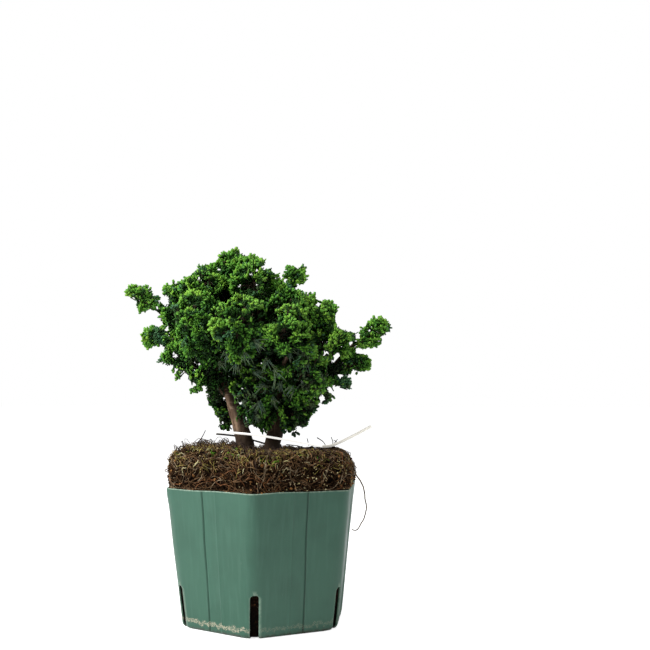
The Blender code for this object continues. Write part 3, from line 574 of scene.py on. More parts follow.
def wandering(draw, count, steps, turn, rise, heading, length, bend):
    """Paths over the ball: each starts at a place and heading, and bends a little at random at each step."""
    angle = heading[:, None] + draw.normal(0, bend, (count, steps)).cumsum(axis=1)
    step = (length / steps)[:, None]
    return (
        turn[:, None] + (np.cos(angle) * step).cumsum(axis=1) / BALL_ROUND,
        rise[:, None] + (np.sin(angle) * step).cumsum(axis=1),
    )


def root_skin(name, dark, light):
    """Root bark in two close shades, in short patches along each root."""
    made, tree, shader, place = new_finish(name, 0.85, 0.05)
    patch = grain(tree, place, 330, 3)
    colour = laid_over(tree, between(tree, patch, 0.38, 0.62), (*dark, 1), (*light, 1))
    coloured(tree, shader, colour)
    roughened(tree, shader, patch, 0.2, 0.4)
    return made


def root_mat(name, seed, count, thick, length, lift, finish, top=27.0):
    """One kind of root over the ball's sides and edge, lying at its own depth in the mat."""
    draw = np.random.default_rng(seed)
    steps = 9
    heading = draw.choice([0, math.pi], count) + draw.normal(0.15, 0.75, count)
    start = draw.uniform(0, 1, count), draw.uniform(-1, top, count)
    turn, rise = wandering(draw, count, steps, *start, heading, draw.uniform(*length, count), 0.33)
    rise = np.clip(rise, 0.6 + draw.uniform(0, 1.5, (count, 1)), None)
    points, out = on_ball(turn, rise)
    wave = np.sin(np.linspace(0, 1, steps) * draw.uniform(4, 10, (count, 1)) + draw.uniform(0, 6, (count, 1)))
    depth = lumps(points, rise) + draw.uniform(*lift, (count, 1)) + 0.5 * wave
    points = points + out * (depth * smooth_step(0, 5, rise))[..., None]
    radii = draw.uniform(*thick, (count, 1)) * np.sin(np.linspace(0.35, math.pi - 0.15, steps)) ** 0.5
    points, faces = strands(points, radii, out)
    piece = made_piece(name, points, faces, finish)
    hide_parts("root_ball")


root_mat("roots_dark", 21, 800, (0.20, 0.44), (12, 36), (-0.9, 0.9),
         root_skin("root_dark_brown", (0.011, 0.0055, 0.0024), (0.048, 0.026, 0.011)))
root_mat("roots_brown", 22, 470, (0.17, 0.38), (10, 36), (-0.5, 1.5),
         root_skin("root_brown", (0.060, 0.031, 0.014), (0.160, 0.092, 0.046)))
root_mat("roots_orange", 23, 75, (0.18, 0.42), (8, 26), (0.0, 1.6),
         root_skin("root_orange", (0.100, 0.038, 0.016), (0.240, 0.105, 0.046)), top=17.0)
root_mat("roots_grey", 24, 240, (0.14, 0.28), (8, 28), (0.0, 1.8),
         root_skin("root_grey_brown", (0.125, 0.084, 0.048), (0.310, 0.235, 0.150)))


# Chips of bark and pale grains are mixed through the peat. They show at the ball's skin, pressed in between
# the roots.
def crumbs(name, seed, count, size, squash, rise_range, lift, finish, turns=(0, 1)):
    """Chips and grains pressed into the ball: rough lumps of eight faces, each stretched and turned its own
    way."""
    draw = np.random.default_rng(seed)
    rise = draw.uniform(*rise_range, count)
    places, out = on_ball(draw.uniform(*turns, count), rise)
    places = places + out * (lumps(places, rise) + draw.uniform(*lift, count))[:, None]
    lump = np.array([[1, 0, 0], [0, 1, 0], [-1, 0, 0], [0, -1, 0], [0, 0, 1], [0, 0, -1]], float)
    lump = lump * draw.uniform(0.6, 1.2, (count, 6, 1))
    lump = lump * draw.uniform(*size, (count, 1, 1)) * np.stack(
        [np.ones(count), draw.uniform(*squash, count), draw.uniform(*squash, count)], axis=-1)[:, None]
    spin = unit(draw.normal(size=(count, 3)))
    side = unit(np.cross(spin, out + 1e-3))
    frames = np.stack([spin, side, np.cross(spin, side)], axis=1)
    points = places[:, None] + lump @ frames
    faces = [(i, (i + 1) % 4, 4) for i in range(4)] + [((i + 1) % 4, i, 5) for i in range(4)]
    faces = np.array(faces)[None] + (np.arange(count) * 6)[:, None, None]
    piece = made_piece(name, points, [faces], finish)
    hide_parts("root_ball")


crumbs("chips_brown", 31, 800, (0.5, 1.6), (0.5, 0.9), (0.8, 40), (-0.2, 0.6),
       root_skin("bark_chip_brown", (0.022, 0.011, 0.006), (0.080, 0.040, 0.020)))
crumbs("chips_ochre", 32, 200, (0.5, 1.7), (0.4, 0.8), (0.8, 19), (0.1, 0.9),
       root_skin("bark_chip_ochre", (0.125, 0.055, 0.018), (0.280, 0.140, 0.050)))
crumbs("grains_pale", 33, 200, (0.3, 0.6), (0.8, 1.0), (0.8, 26), (0.4, 1.1),
       root_skin("grain_pale", (0.42, 0.34, 0.15), (0.66, 0.58, 0.34)))
crumbs("grains_pale_right", 34, 60, (0.35, 0.75), (0.7, 1.0), (1.5, 16), (0.5, 1.2),
       bpy.data.materials["grain_pale"], (0.03, 0.17))


# Moss has grown over the ball's top in several colours: olive and brown threads, a few green tufts, and dry
# straw. Thin ends of roots stand up among it in hoops.
def top_growth(name, seed, count, thick, length, rise_range, stand, finish, tufts=None):
    """Moss threads and root ends on the top: each rises from the ball, bends over and comes down again.
    Tufts are places, by turn and rise, that they keep to."""
    draw = np.random.default_rng(seed)
    steps = 6
    turn, rise = draw.uniform(0, 1, count), draw.uniform(*rise_range, count)
    if tufts is not None:
        chosen = np.array(tufts)[draw.integers(0, len(tufts), count)]
        turn, rise = (chosen + draw.normal(0, (0.008, 1.5), (count, 2))).T
    turn, rise = wandering(draw, count, steps, turn, rise,
                           draw.uniform(0, 2 * math.pi, count), draw.uniform(*length, count), 0.45)
    points, out = on_ball(turn, np.clip(rise, 4, PROFILE[-1, 0] - 2))
    hoop = np.sin(np.linspace(0.05, math.pi * 0.95, steps)) * draw.uniform(*stand, (count, 1))
    hoop = hoop * (1.25 - 0.8 * smooth_step(-12, 10, points[..., 0]))
    lift = hoop + lumps(points, np.clip(rise, 4, None)) + 0.2
    up = np.array([0, 0, 1.0])
    points = points + unit(out + up * 0.6) * lift[..., None]
    radii = draw.uniform(*thick, (count, 1)) * np.linspace(1, 0.6, steps)
    points, faces = strands(points, radii, out + 0.01)
    piece = made_piece(name, points, faces, finish)
    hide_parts("root_ball")


top_growth("moss_olive", 41, 1200, (0.17, 0.36), (3, 9), (14, 75), (0.8, 3.0),
           root_skin("moss_olive", (0.125, 0.098, 0.024), (0.400, 0.325, 0.100)))
top_growth("moss_brown", 42, 1300, (0.17, 0.38), (4, 12), (13, 75), (0.8, 3.4),
           root_skin("moss_brown", (0.082, 0.044, 0.019), (0.270, 0.165, 0.078)))
top_growth("moss_green", 43, 50, (0.25, 0.45), (2, 4), (14, 60), (0.8, 2.0),
           root_skin("moss_green", (0.060, 0.160, 0.014), (0.170, 0.330, 0.035)))
top_growth("moss_green_tufts", 46, 36, (0.22, 0.42), (2, 4), (14, 60), (0.8, 2.0),
           bpy.data.materials["moss_green"],
           tufts=[(-0.085, 24), (-0.045, 25), (0.035, 19), (0.032, 23), (0.125, 19)])
top_growth("moss_straw", 44, 180, (0.16, 0.34), (3, 8), (13, 60), (0.8, 2.2),
           root_skin("moss_straw", (0.36, 0.31, 0.15), (0.56, 0.51, 0.30)))
top_growth("moss_straw_curls", 47, 4, (0.4, 0.65), (5, 9), (14, 60), (0.8, 2.4),
           bpy.data.materials["moss_straw"], tufts=[(-0.13, 15), (0.05, 18), (0.055, 17)])
top_growth("root_hoops", 45, 300, (0.17, 0.33), (6, 18), (22, 60), (2.5, 6.5),
           root_skin("root_hoop_grey", (0.030, 0.021, 0.018), (0.090, 0.062, 0.048)))


# One thin root has come loose at the right. It is still fixed in the ball above the rim, and hangs in a bow
# over it, down to the pot's wall.
LOOSE_ROOT = (
    (57, -4, 95), (59.4, -4, 92.2), (62.8, -4, 86), (64.2, -4, 79.6), (65.4, -4, 73.4), (65.2, -4, 68.4),
    (63, -4, 62.8), (60.4, -4, 58), (57.6, -4, 56.8), (55.8, -4, 57.2),
)


def course(stops, count):
    """A smooth curve through the rows of a table: each stretch is a cubic whose slope at a stop is half of
    the step from the stop before to the stop after."""
    stops = np.array(stops, float)
    u = np.linspace(0, 1, count + 1) * (len(stops) - 1)
    k = np.minimum(u.astype(int), len(stops) - 2)
    t = (u - k)[:, None]
    before, start, end = stops[np.maximum(k - 1, 0)], stops[k], stops[k + 1]
    after = stops[np.minimum(k + 2, len(stops) - 1)]
    square = (2 * before - 5 * start + 4 * end - after) * t**2
    return 0.5 * (2 * start + (end - before) * t + square + (3 * start - before - 3 * end + after) * t**3)


def crooked(paths, reach, size):
    """Paths moved aside by up to a reach, by noise of a size that each axis has from its own place."""
    return paths + reach * np.stack([drift(paths + place, size) for place in (0, 30, 60)], axis=-1)


path = crooked(course(LOOSE_ROOT, 60), 0.45, 4.0)
radii = np.full((1, 61), 0.46) * np.linspace(1.1, 0.8, 61)
TO_THE_FRONT = np.array([0, -1.0, 0])
points, faces = strands(path[None], radii, TO_THE_FRONT, 5)
loose = made_piece("root_loose", points, faces, bpy.data.materials["root_grey_brown"], VIEW_TURN)


# A few dead twigs, thin and nearly black, have dropped on the ball. Some lie on the moss, and others stand in
# it by one end.
DEAD_TWIGS = [
    ((-42, 2, 108.5), (-39.6, 1, 115.6), (-37.2, 0, 120.6)),
    ((28.4, 6, 110), (28.2, 5, 112.5), (27.8, 5, 115)),
    ((14, 8, 110.6), (21, 7, 109.8), (29, 6, 108)),
    ((30.5, 4, 109.4), (33, 3, 110.4), (36.5, 3, 110)),
    ((34, 5, 115), (37, 5, 113), (40, 4, 109.6)),
    ((41, 4, 108), (44, 3, 112), (43.2, 3, 116)),
    ((46, 4, 108), (44.6, 3, 111), (47.4, 3, 114.6)),
    ((43, 2, 109), (46.5, 2, 112.5), (44.8, 2, 114)),
    ((9.8, 4, 112), (10.2, 3, 115.4), (9.6, 3, 116.4)),
]
paths = crooked(np.array([course(stops, 12) for stops in DEAD_TWIGS]), 0.35, 2.5)
radii = np.tile(np.linspace(0.36, 0.2, 13), (len(paths), 1))
points, faces = strands(paths, radii, TO_THE_FRONT, 4)
finish = root_skin("twig_dead", (0.020, 0.014, 0.011), (0.065, 0.048, 0.036))
dead = made_piece("twigs_dead", points, faces, finish, VIEW_TURN)


# Two stems rise from the middle of the ball, each from its own flare. Their bark is thin and red-brown, in
# narrow lengthwise flakes, stained dark where it stands in the moss.
TRUNKS = {  # points up each stem's line, with its radius there
    "left_trunk": [
        (-12, 0, 109.8, 5.9), (-12.4, 0, 112.5, 5.6), (-14, 0, 119.5, 5), (-16.7, 0, 128, 4.4),
        (-20.7, 0, 139.6, 3.6), (-25.4, 0.5, 152, 2.9), (-29, 1.5, 168, 2.3), (-27, 3, 184, 1.8),
        (-21.5, 5, 203, 1.2),
    ],
    "right_trunk": [
        (5.4, 2, 109.8, 5.6), (5.6, 2, 112.5, 5), (7.2, 2, 119.5, 4.9), (8.6, 1, 128, 3.8),
        (9.2, 0, 140, 2.9), (8, -1, 156, 2.5), (4, -3, 172, 2.0), (-1, -5, 188, 1.5),
        (-4, -7.5, 199, 1.2),
    ],
}
BARK_TONES = {"left_trunk": 1.45, "right_trunk": 0.9}  # the right stem's bark is painted darker than the left's, as shade under the foliage
BURIED, BURIED_SPREAD = 9.0, 1.15  # how far each runs down into the ball, and how much wider it is there
AWAY_FROM_KEY = (0.97, -0.26, 0)  # the side painted darker as shade, away from the key light: to the right, and a little to the front


def barked(stops, rings, sides, relief, flare=0.0):
    """A limb's skin: rings square to its line, whose radius stands in and out by noise drawn out along the
    limb, with five low ridges at a stem's foot."""
    line = course(stops, rings)
    spots, radii = line[:, :3], line[:, 3]
    along = unit(np.gradient(spots, axis=0))
    far = np.concatenate([[0], np.cumsum(np.linalg.norm(np.diff(spots, axis=0), axis=1))])
    reference = np.eye(3)[np.argmin(np.abs(along.mean(axis=0)))]
    side = unit(np.cross(along, reference))
    across = np.cross(side, along)
    a = 2 * math.pi * np.arange(sides) / sides
    wrap = np.stack([np.cos(a), np.sin(a)], axis=-1)
    around = np.broadcast_to(wrap * 3.4, (rings + 1, sides, 2))
    drawn_out = np.broadcast_to(far[:, None, None] / 6, (rings + 1, sides, 1))
    place = np.concatenate([around, drawn_out], axis=-1)
    ridges = 1 - 2 * np.abs(drift(place + stops[0][0], 0.75))
    ridges = 0.7 * ridges + 0.5 * drift(place * (1, 1, 5) + 20, 0.9)
    radius = radii[:, None] * (1 + relief * ridges + 0.06 * drift(place * (0.5, 0.5, 2), 1.3))
    fade = np.clip(1 - far / 13, 0, 1)[:, None] ** 1.5
    radius = radius * (1 + flare * fade * (0.6 + np.sin(5 * a + 0.7)))
    skin = spots[:, None] + radius[..., None] * (wrap[:, :1] * side[:, None] + wrap[:, 1:] * across[:, None])
    lids = [np.arange(sides)[None, ::-1], np.arange(sides)[None] + rings * sides]
    return skin, [grid_faces(rings + 1, sides), *lids]


WET_FOOT = (0.1165, 0.1240)  # metres up: where the stain of the moss fades


def bark(name, pale, tone=1.0):
    """Red-brown bark with grey-brown flakes, of one paleness, darker in the clefts and at the wet foot, and
    with painted shade down the side away from the key light. A tone makes it all lighter or darker."""
    made, tree, shader, place = new_finish(name, 0.85, 0.2)
    flake = grain(tree, place, 330, 6, (1, 1, 0.22))
    band = grain(tree, place, 420, 3, (0.3, 0.3, 1.6))
    cleft, ridge, scale = [
        (*(tone * np.array(colour)), 1)
        for colour in ((0.062, 0.034, 0.021), (0.235, 0.155, 0.100), (0.400, 0.300, 0.210))
    ]
    colour = laid_over(tree, between(tree, flake, 0.35, 0.62), cleft, ridge)
    colour = laid_over(tree, between(tree, band, 0.55, 0.70, 0, pale), colour, scale)
    height = node(tree, "SeparateXYZ", {0: place}).outputs["Z"]
    wet = between(tree, height, *WET_FOOT, 0.85, 0.0)
    colour = laid_over(tree, wet, colour, (0.030, 0.018, 0.012, 1))
    # painted shade down the side away from the key light
    shaded_side = attribute(tree, "shaded_side")
    colour = laid_over(tree, times(tree, shaded_side, 0.8), colour, (0.034, 0.022, 0.014, 1))
    coloured(tree, shader, colour)
    roughened(tree, shader, flake, 0.35, 0.8)
    return made


for name, stops in TRUNKS.items():
    x, y, z, radius = stops[0]
    stops = [(x, y, z - BURIED, radius * BURIED_SPREAD), *stops]
    points, faces = barked(stops, rings=260, sides=56, relief=0.055, flare=0.16)
    finish = bark(name + "_bark", pale=0.5, tone=BARK_TONES[name])
    trunk = made_piece(name + "_bark", points, faces, finish, VIEW_TURN)
    # Painted shade: how far each point faces away from the key light.
    out = unit(points - points.mean(axis=1, keepdims=True))
    give_points(trunk, "shaded_side", smooth_step(-0.3, 0.5, out @ np.array(AWAY_FROM_KEY)))
    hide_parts(name)


# Boughs fork from the stems, and one from another bough, at the heights where they show. They wear the stems'
# thin bark. Each starts inside the limb that carries it, and ends inside the foliage that it carries.
BOUGHS = {  # what carries it, the height of the fork, its radius there, and the rest of its line with radii
    "left_spur_bough": ("left_trunk", 158, 1.9, [(-46, 11, 178, 1.5), (-66, 5, 196, 1.0)]),
    "left_low_spur_bough": ("left_trunk", 149, 1.6, [(-43, 9, 160, 1.3), (-60.5, 5, 175, 0.9)]),
    "left_shoulder_bough": ("left_trunk", 173, 1.6, [(-37, 3, 186, 1.3), (-42, 2, 192, 1.1)]),
    "left_front_bough": ("left_trunk", 160, 1.7, [(-26.5, -10, 168, 1.4), (-24, -21, 175, 1.1)]),
    "left_back_bough": ("left_trunk", 165, 1.7, [(-31, 14, 175, 1.4), (-33, 24, 182, 1.1)]),
    "left_lower_bough": ("left_trunk", 139, 1.5, [(-32, -3, 150, 1.3), (-39, -4, 156, 1.0)]),
    "right_limb": (
        "right_trunk", 120, 3.2,
        [(14, 1, 124.5, 2.9), (22.5, 1, 131, 2.5), (28.5, 4, 140, 2.1), (39, 9, 155, 1.7), (58, 6, 176, 1.0)],
    ),
    "right_low_bough": ("right_limb", 149, 1.3, [(41, 5, 154, 1.1), (48, 4, 159, 0.9)]),
    "right_top_bough": ("right_trunk", 169, 1.5, [(9, -3, 186, 1.2), (16, -2, 210, 0.9)]),
    "right_mid_bough": ("right_trunk", 154, 1.7, [(20, 0, 169, 1.4), (30, 0, 182, 1.1)]),
    "right_front_bough": ("right_trunk", 150, 1.7, [(12.5, -13, 161, 1.4), (16, -22, 168, 1.1)]),
    "right_back_bough": ("right_trunk", 160, 1.7, [(13, 12, 169, 1.4), (20, 22, 174, 1.1)]),
    "crown_back_bough": ("right_trunk", 179, 1.4, [(1, 6, 188, 1.2), (-1, 12, 193, 1.0)]),
    "low_back_bough": ("right_trunk", 134, 1.5, [(4, 9, 139, 1.3), (1, 14, 141, 1.0)]),
}
LINE_STEPS = 40
LIMB_LINES = {name: course(stops, LINE_STEPS) for name, stops in TRUNKS.items()}


def at_height(line, height):
    """The row of a limb's line at a height."""
    return np.array([np.interp(height, line[:, 2], line[:, k]) for k in range(4)])


bough_bark = bark("bough_bark", pale=0.35)
for name, (parent, height, radius, stops) in BOUGHS.items():
    root = at_height(LIMB_LINES[parent], height)
    stops = [(*root[:3], radius), *stops]
    LIMB_LINES[name] = course(stops, LINE_STEPS)
    points, faces = barked(stops, rings=70, sides=16, relief=0.05)
    bough = made_piece(name + "_bark", points, faces, bough_bark, VIEW_TURN)
    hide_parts(name)


# The foliage is small blunt scale leaves packed on flat fans, which stand on twigs round each bough's end.
# Each mass keeps to its own room: a ball or a drawn-out ball, less what lies past the planes between it and
# its neighbours.
NONE = (0, 0, 0)
# Each one's centre, its radius, half of the line that it is drawn out along, and the limb that carries it,
# with the height where its stem starts there, unless that is the limb's end.
MASSES = {
    "crown_top": ((-18.5, 5.5, 219.5), 19.5, NONE, ("left_trunk", None)),
    "crown_front": ((-6.5, -8, 213), 19.5, NONE, ("right_trunk", None)),
    "crown_back": ((-1.5, 21, 200), 21.5, NONE, ("crown_back_bough", None)),
    "upper_left": ((-37.5, -3.5, 208), 20.5, NONE, ("left_shoulder_bough", None)),
    "upper_left_back": ((-37.5, 26, 196), 23, NONE, ("left_back_bough", None)),
    "left_shoulder": ((-53, 0, 196), 15.5, (-3, 0, 4), ("left_shoulder_bough", None)),
    "left_spur": ((-78.8, 0, 204.2), 9.5, (-3.8, 0, 4), ("left_spur_bough", None)),
    "left_low_spur": ((-68, -2, 180), 10.5, (-4, 0, 0), ("left_low_spur_bough", None)),
    "left_front": ((-35.5, -29.5, 185), 24, NONE, ("left_front_bough", None)),
    "left_lower": ((-46.5, -4, 162), 13.5, (-9.5, 1, 6), ("left_lower_bough", None)),
    "left_fringe": ((-27.5, 13, 137.5), 12.5, (-2.5, 0, 8), ("left_trunk", 131)),
    "centre_front": ((-13, -36.5, 183), 24, NONE, ("left_front_bough", None)),
    "centre_low": ((-5, -12, 141), 18.5, (0, 0, 5), ("right_trunk", 131)),
    "right_front": ((16, -34.5, 175.5), 24, NONE, ("right_front_bough", None)),
    "low_front_right": ((27.5, -22.5, 157), 18, NONE, ("right_front_bough", None)),
    "right_top_spur": ((19, -2, 219.5), 9, (2.5, 0, 1), ("right_top_bough", None)),
    "right_upper": ((12.5, -11, 195), 19, NONE, ("right_trunk", 182)),
    "right_shoulder": ((31, -2, 193), 15.5, (6, 1, -1), ("right_mid_bough", None)),
    "right_mid": ((41, -2, 175), 16.5, (3, 0, 1), ("right_mid_bough", None)),
    "right_spur": ((68.5, 2, 181.5), 9.5, (5, 0, 4), ("right_limb", None)),
    "right_low_spur": ((58, 3, 162.5), 10, (4, 0, 0.5), ("right_low_bough", None)),
    "right_lower": ((37, -5, 147.5), 13.5, (2.5, 0, 1.5), ("right_limb", 136)),
    "low_right": ((21.5, -10, 135.5), 16.5, (2, 0, 3.5), ("right_trunk", 127)),
    "low_back": ((3.5, 22, 142.5), 19, (11, -2, -4.5), ("low_back_bough", None)),
    "back_left": ((-24, 38.5, 172), 24, NONE, ("left_back_bough", None)),
    "back_right": ((18, 36.5, 183), 24, NONE, ("right_back_bough", None)),
    "back_right_low": ((30.5, 29, 159), 19, NONE, ("right_back_bough", None)),
}
GROW_SEED, DRESS_SEED = 1000, 5000  # each mass has its own draws, whose seeds count on from these
CORE_SHARE = 0.5  # the branchlets fork about this far out, as a share of the radius
SPRAY_LENGTH, FULL_SIZE_RADIUS = 14.5, 20.0  # a branchlet's length, in masses of this radius and more
FINER = 2.7  # branchlets for each one that a plain solid of the mass would have
FANS = 6  # fans on each branchlet
FAN_SHARE = (0.52, 0.78)  # a fan's length, as a share of its branchlet's
FAN_STEP = 0.36  # from one fan's heading to the next, as a share of its own length
SHORTEST_FAN = 3.2
LUMP, LUMP_SIZE = 0.24, 9.0  # how far a room's edge comes and goes, as a share of its radius, over this size
HOLLOW, HOLLOW_SIZE = 0.30, 6.5  # and the same again where it faces front or back
EDGE_INSET = 1.8  # the leaves' feet stop this far inside, as their tips stand out further
PAST_PLANE = 0.6  # each room runs this far past the planes
TRIM = {  # how much smaller some rooms are than the table's radius, as their sprigs stand out further
    "left_spur": 2.8, "left_low_spur": 2.2, "right_top_spur": 2.6, "right_shoulder": 1.6, "crown_front": 1.2,
    "right_spur": 2.4, "right_low_spur": 2.4, "left_fringe": 1.0, "low_right": 2.4, "right_lower": 1.8,
    "left_lower": 1.0,
}
LIFT = {  # painted light: how many shades brighter the leaves of some masses are made
    "left_spur": 1.2, "left_low_spur": 1.4, "right_top_spur": 1.0, "right_spur": 3.3, "right_low_spur": 1.1,
    "right_shoulder": 0.2, "right_mid": 0.3,
}
LOWEST_LEAF = BALL_TOP + 6.0
RIB_CLEAR, LEAF_CLEAR = 0.5, 0.6  # how far ribs and leaves keep from the limbs' bark
RISE, LOW_SIDE = math.radians(70), -0.3  # branchlets lean within this angle of straight up, but for low ones
BRANCH_LEAN = (math.radians(28), math.radians(58))  # and this far from straight out


# Gaps where the sky shows, as seen from the viewpoint and measured at the pot's axis: across, up and radius.
SKY = [
    (-68.1, 214.6, 3.2), (-68.4, 209.4, 2.6), (-63.0, 204.3, 2.3), (-62.8, 202.4, 2.4), (-59.6, 214.2, 1.0),
    (-72.3, 193.4, 3.5), (-68.1, 189.0, 2.0), (-62.4, 185.1, 1.0), (-87.6, 201.8, 4.2), (-85.1, 196.0, 4.0),
    (-78.7, 189.3, 2.9), (-69.1, 172.0, 2.2), (-65.2, 172.6, 1.3), (-57.1, 168.1, 1.5), (-64.6, 159.5, 3.8),
    (-63.6, 154.4, 4.8), (-50.5, 152.2, 2.9), (-53.1, 147.4, 4.5), (-47.9, 149.1, 2.2), (-37.7, 147.0, 1.6),
    (-44.7, 149.9, 1.0), (-42.2, 140.0, 3.5), (-40.3, 135.8, 4.0), (-36.4, 131.4, 4.0), (-32.6, 125.6, 4.2),
    (-31.9, 119.8, 3.8), (-26.2, 125.6, 0.9), (-20.8, 122.9, 1.0), (-12.1, 235.4, 3.2), (-49.9, 224.2, 4.8),
    (-55.6, 220.3, 3.5), (-46.0, 224.8, 2.7), (-41.8, 217.5, 0.9), (-29.1, 222.9, 0.9), (-32.3, 230.9, 2.4),
    (-15.8, 213.0, 0.9), (-8.1, 219.8, 1.2), (-4.4, 222.7, 1.0), (-0.3, 224.5, 1.3), (3.3, 228.0, 2.2),
    (0.7, 224.5, 1.2), (2.6, 225.4, 1.5), (8.4, 224.8, 3.8), (13.8, 216.5, 0.9), (21.5, 226.4, 2.0),
    (25.0, 211.7, 1.7), (21.4, 212.4, 1.2), (29.5, 212.6, 3.2), (34.9, 200.8, 1.5), (35.9, 206.2, 2.7),
    (50.5, 192.5, 4.5), (53.8, 187.7, 3.5), (58.9, 185.1, 2.0), (59.5, 180.8, 0.9), (64.1, 193.1, 2.4),
    (55.7, 176.0, 1.2), (79.4, 180.0, 2.9), (77.5, 177.4, 1.7), (50.0, 173.5, 0.8), (39.6, 169.5, 1.4),
    (47.0, 168.0, 1.7), (44.2, 164.4, 1.2), (49.0, 155.0, 1.4), (57.3, 157.6, 1.2), (37.2, 141.2, 1.7),
    (42.6, 145.4, 1.2), (61.8, 170.7, 1.3), (59.8, 170.9, 1.3), (65.3, 170.5, 1.5), (70.5, 169.1, 3.2),
    (62.5, 153.8, 3.7), (67.3, 154.1, 3.5), (62.5, 148.6, 3.7), (47.7, 144.6, 3.4), (52.5, 142.9, 3.8),
    (39.4, 131.7, 3.8), (34.3, 125.0, 5.1), (28.2, 117.9, 3.8), (15.7, 116.3, 1.9), (-7.0, 119.8, 2.3),
    (-3.1, 116.6, 1.7), (-8.3, 121.5, 1.8), (-4.6, 119.6, 1.8), (-13.4, 147.4, 1.0), (-59.1, 161.1, 1.2),
    (-56.3, 158.6, 1.0), (-51.8, 157.0, 1.2), (-49.9, 155.4, 1.2), (45.5, 147.7, 1.4), (41.7, 147.0, 1.3),
    (22.1, 120.8, 1.8), (49.0, 186.7, 1.5), (52.5, 183.8, 1.0), (63.4, 188.6, 1.7),
]


# Dark hollows between the nearer masses, in the same way: only leaves in front of a depth are left out.
HOLLOWS = [
    (-5.1, 190.9, 2.9), (0.7, 190.9, 3.2), (6.5, 191.5, 3.2), (5.2, 197.0, 2.9), (7.7, 166.6, 3.8),
    (13.5, 164.6, 3.8), (18.0, 167.2, 2.9), (31.4, 183.8, 2.6), (33.3, 178.1, 3.2), (26.3, 176.8, 2.6),
    (22.8, 149.9, 2.9), (-26.8, 158.9, 3.2), (-21.1, 157.9, 3.5), (16.1, 132.0, 3.2), (16.7, 125.6, 2.9),
    (-8.3, 214.6, 3.2), (-49.2, 203.7, 2.2), (-44.7, 203.0, 2.2), (-29.4, 205.6, 2.2), (-23.6, 205.6, 2.2),
    (-1.2, 196.0, 1.9), (3.3, 194.2, 1.7), (-7.7, 195.5, 1.8), (-4.5, 195.9, 2.4), (-5.9, 193.7, 1.7),
    (-15.3, 152.5, 2.6), (-20.4, 149.3, 2.2), (-17.2, 146.1, 2.0), (21.2, 170.4, 2.6), (37.2, 170.4, 2.6),
]
HOLLOWS_BEFORE = -12.0
# The bare upper part of the left stem, in the same way.
BARE_BARK = [
    (-26.5, 149.9, 1.4), (-24.3, 146.1, 1.8), (-22.3, 142.2, 2.2), (-21.1, 138.4, 2.3), (-20.1, 134.6, 2.4),
    (-19.1, 130.7, 2.4),
]
BARE_BEFORE = 3.0


def seen(points):
    """Where points show from the viewpoint: across and up, measured at the pot's axis."""
    near = DISTANCE / (DISTANCE + points[..., 1])
    return np.stack([ASIDE + (points[..., 0] - ASIDE) * near, EYE + (points[..., 2] - EYE) * near], axis=-1)


def stood_at(shown, y):
    """The opposite of seen: points at a depth that show in a given place."""
    far = (DISTANCE + y) / DISTANCE
    return np.stack([ASIDE + (shown[..., 0] - ASIDE) * far, y, EYE + (shown[..., 1] - EYE) * far], axis=-1)


def in_discs(points, discs, spare):
    """Whether each point shows inside one of some discs, or within a little of it."""
    discs = np.array(discs)
    away = np.linalg.norm(seen(points)[..., None, :] - discs[:, :2], axis=-1)
    return (away < discs[:, 2] + spare).any(axis=-1)


def in_a_gap(points, spare=0.4):
    """Whether each point shows in a gap of sky, or stands in front of a dark hollow or of the bare bark."""
    hidden = in_discs(points, SKY, spare)
    for discs, before in ((HOLLOWS, HOLLOWS_BEFORE), (BARE_BARK, BARE_BEFORE)):
        hidden |= in_discs(points, discs, 0) & (points[..., 1] < before)
    return hidden


def nearest_on(a, b, points):
    """The nearest points to some points on the straight line from a to b."""
    line = b - a
    length = max(line @ line, 1e-12)
    t = np.clip(((points - a) @ line) / length, 0, 1)
    return a + t[..., None] * line


def nearest_between(a, b, c, d):
    """The nearest points of two short lines, found by going to and fro between them."""
    p = (a + b) / 2
    for _ in range(12):
        q = nearest_on(c, d, p)
        p = nearest_on(a, b, q)
    return p, q


def room_of(name):
    """A mass's room: its centre, half of its line, its radius, and a plane between it and each other mass, as
    a point, a direction and how far off the plane is. The plane is nearer to the smaller of the two."""
    centre, radius, half, _ = MASSES[name]
    centre, half, radius = np.array(centre, float), np.array(half, float), radius - TRIM.get(name, 0.0)
    planes = []
    for other, (there, reach, lie, _) in MASSES.items():
        if other == name:
            continue
        there, lie = np.array(there, float), np.array(lie, float)
        p, q = nearest_between(centre - half, centre + half, there - lie, there + lie)
        apart = np.linalg.norm(q - p)
        share = np.clip((apart**2 + radius**2 - reach**2) / (2 * apart**2), 0.2, 0.8)
        planes.append((p, (q - p) / apart, apart * share + PAST_PLANE))
    return centre, half, radius, planes


def depth_in(room, points):
    """How far out in a room each point is: 0 on its line and 1 at its radius."""
    centre, half, radius, _ = room
    return np.linalg.norm(points - nearest_on(centre - half, centre + half, points), axis=-1) / radius


def holds(room, points):
    """Whether each point lies in a room, whose edge comes and goes in lumps, and above the moss."""
    centre, half, radius, planes = room
    out = points - nearest_on(centre - half, centre + half, points)
    far = np.linalg.norm(out, axis=-1)
    edge = 1 - EDGE_INSET / radius + LUMP * (drift(points, LUMP_SIZE) - 0.2)
    facing = np.abs(out[..., 1]) / np.maximum(far, 1e-6)
    edge = edge + HOLLOW * facing**1.5 * (drift(points + 70, HOLLOW_SIZE) - 0.25)
    inside = far < edge * radius
    for at, normal, reach in planes:
        inside &= (points - at) @ normal < reach
    return inside & (points[..., 2] > LOWEST_LEAF)


def reach_of(room, start, way):
    """How far each ray runs in its room. The stretch that is in doubt is halved twelve times."""
    low = np.zeros(len(way))
    high = np.full(len(way), room[2] + np.linalg.norm(room[1]) + 1.0) * 1.6
    for _ in range(12):
        middle = (low + high) / 2
        inside = holds(room, start + way * middle[:, None])
        low, high = np.where(inside, middle, low), np.where(inside, high, middle)
    return low


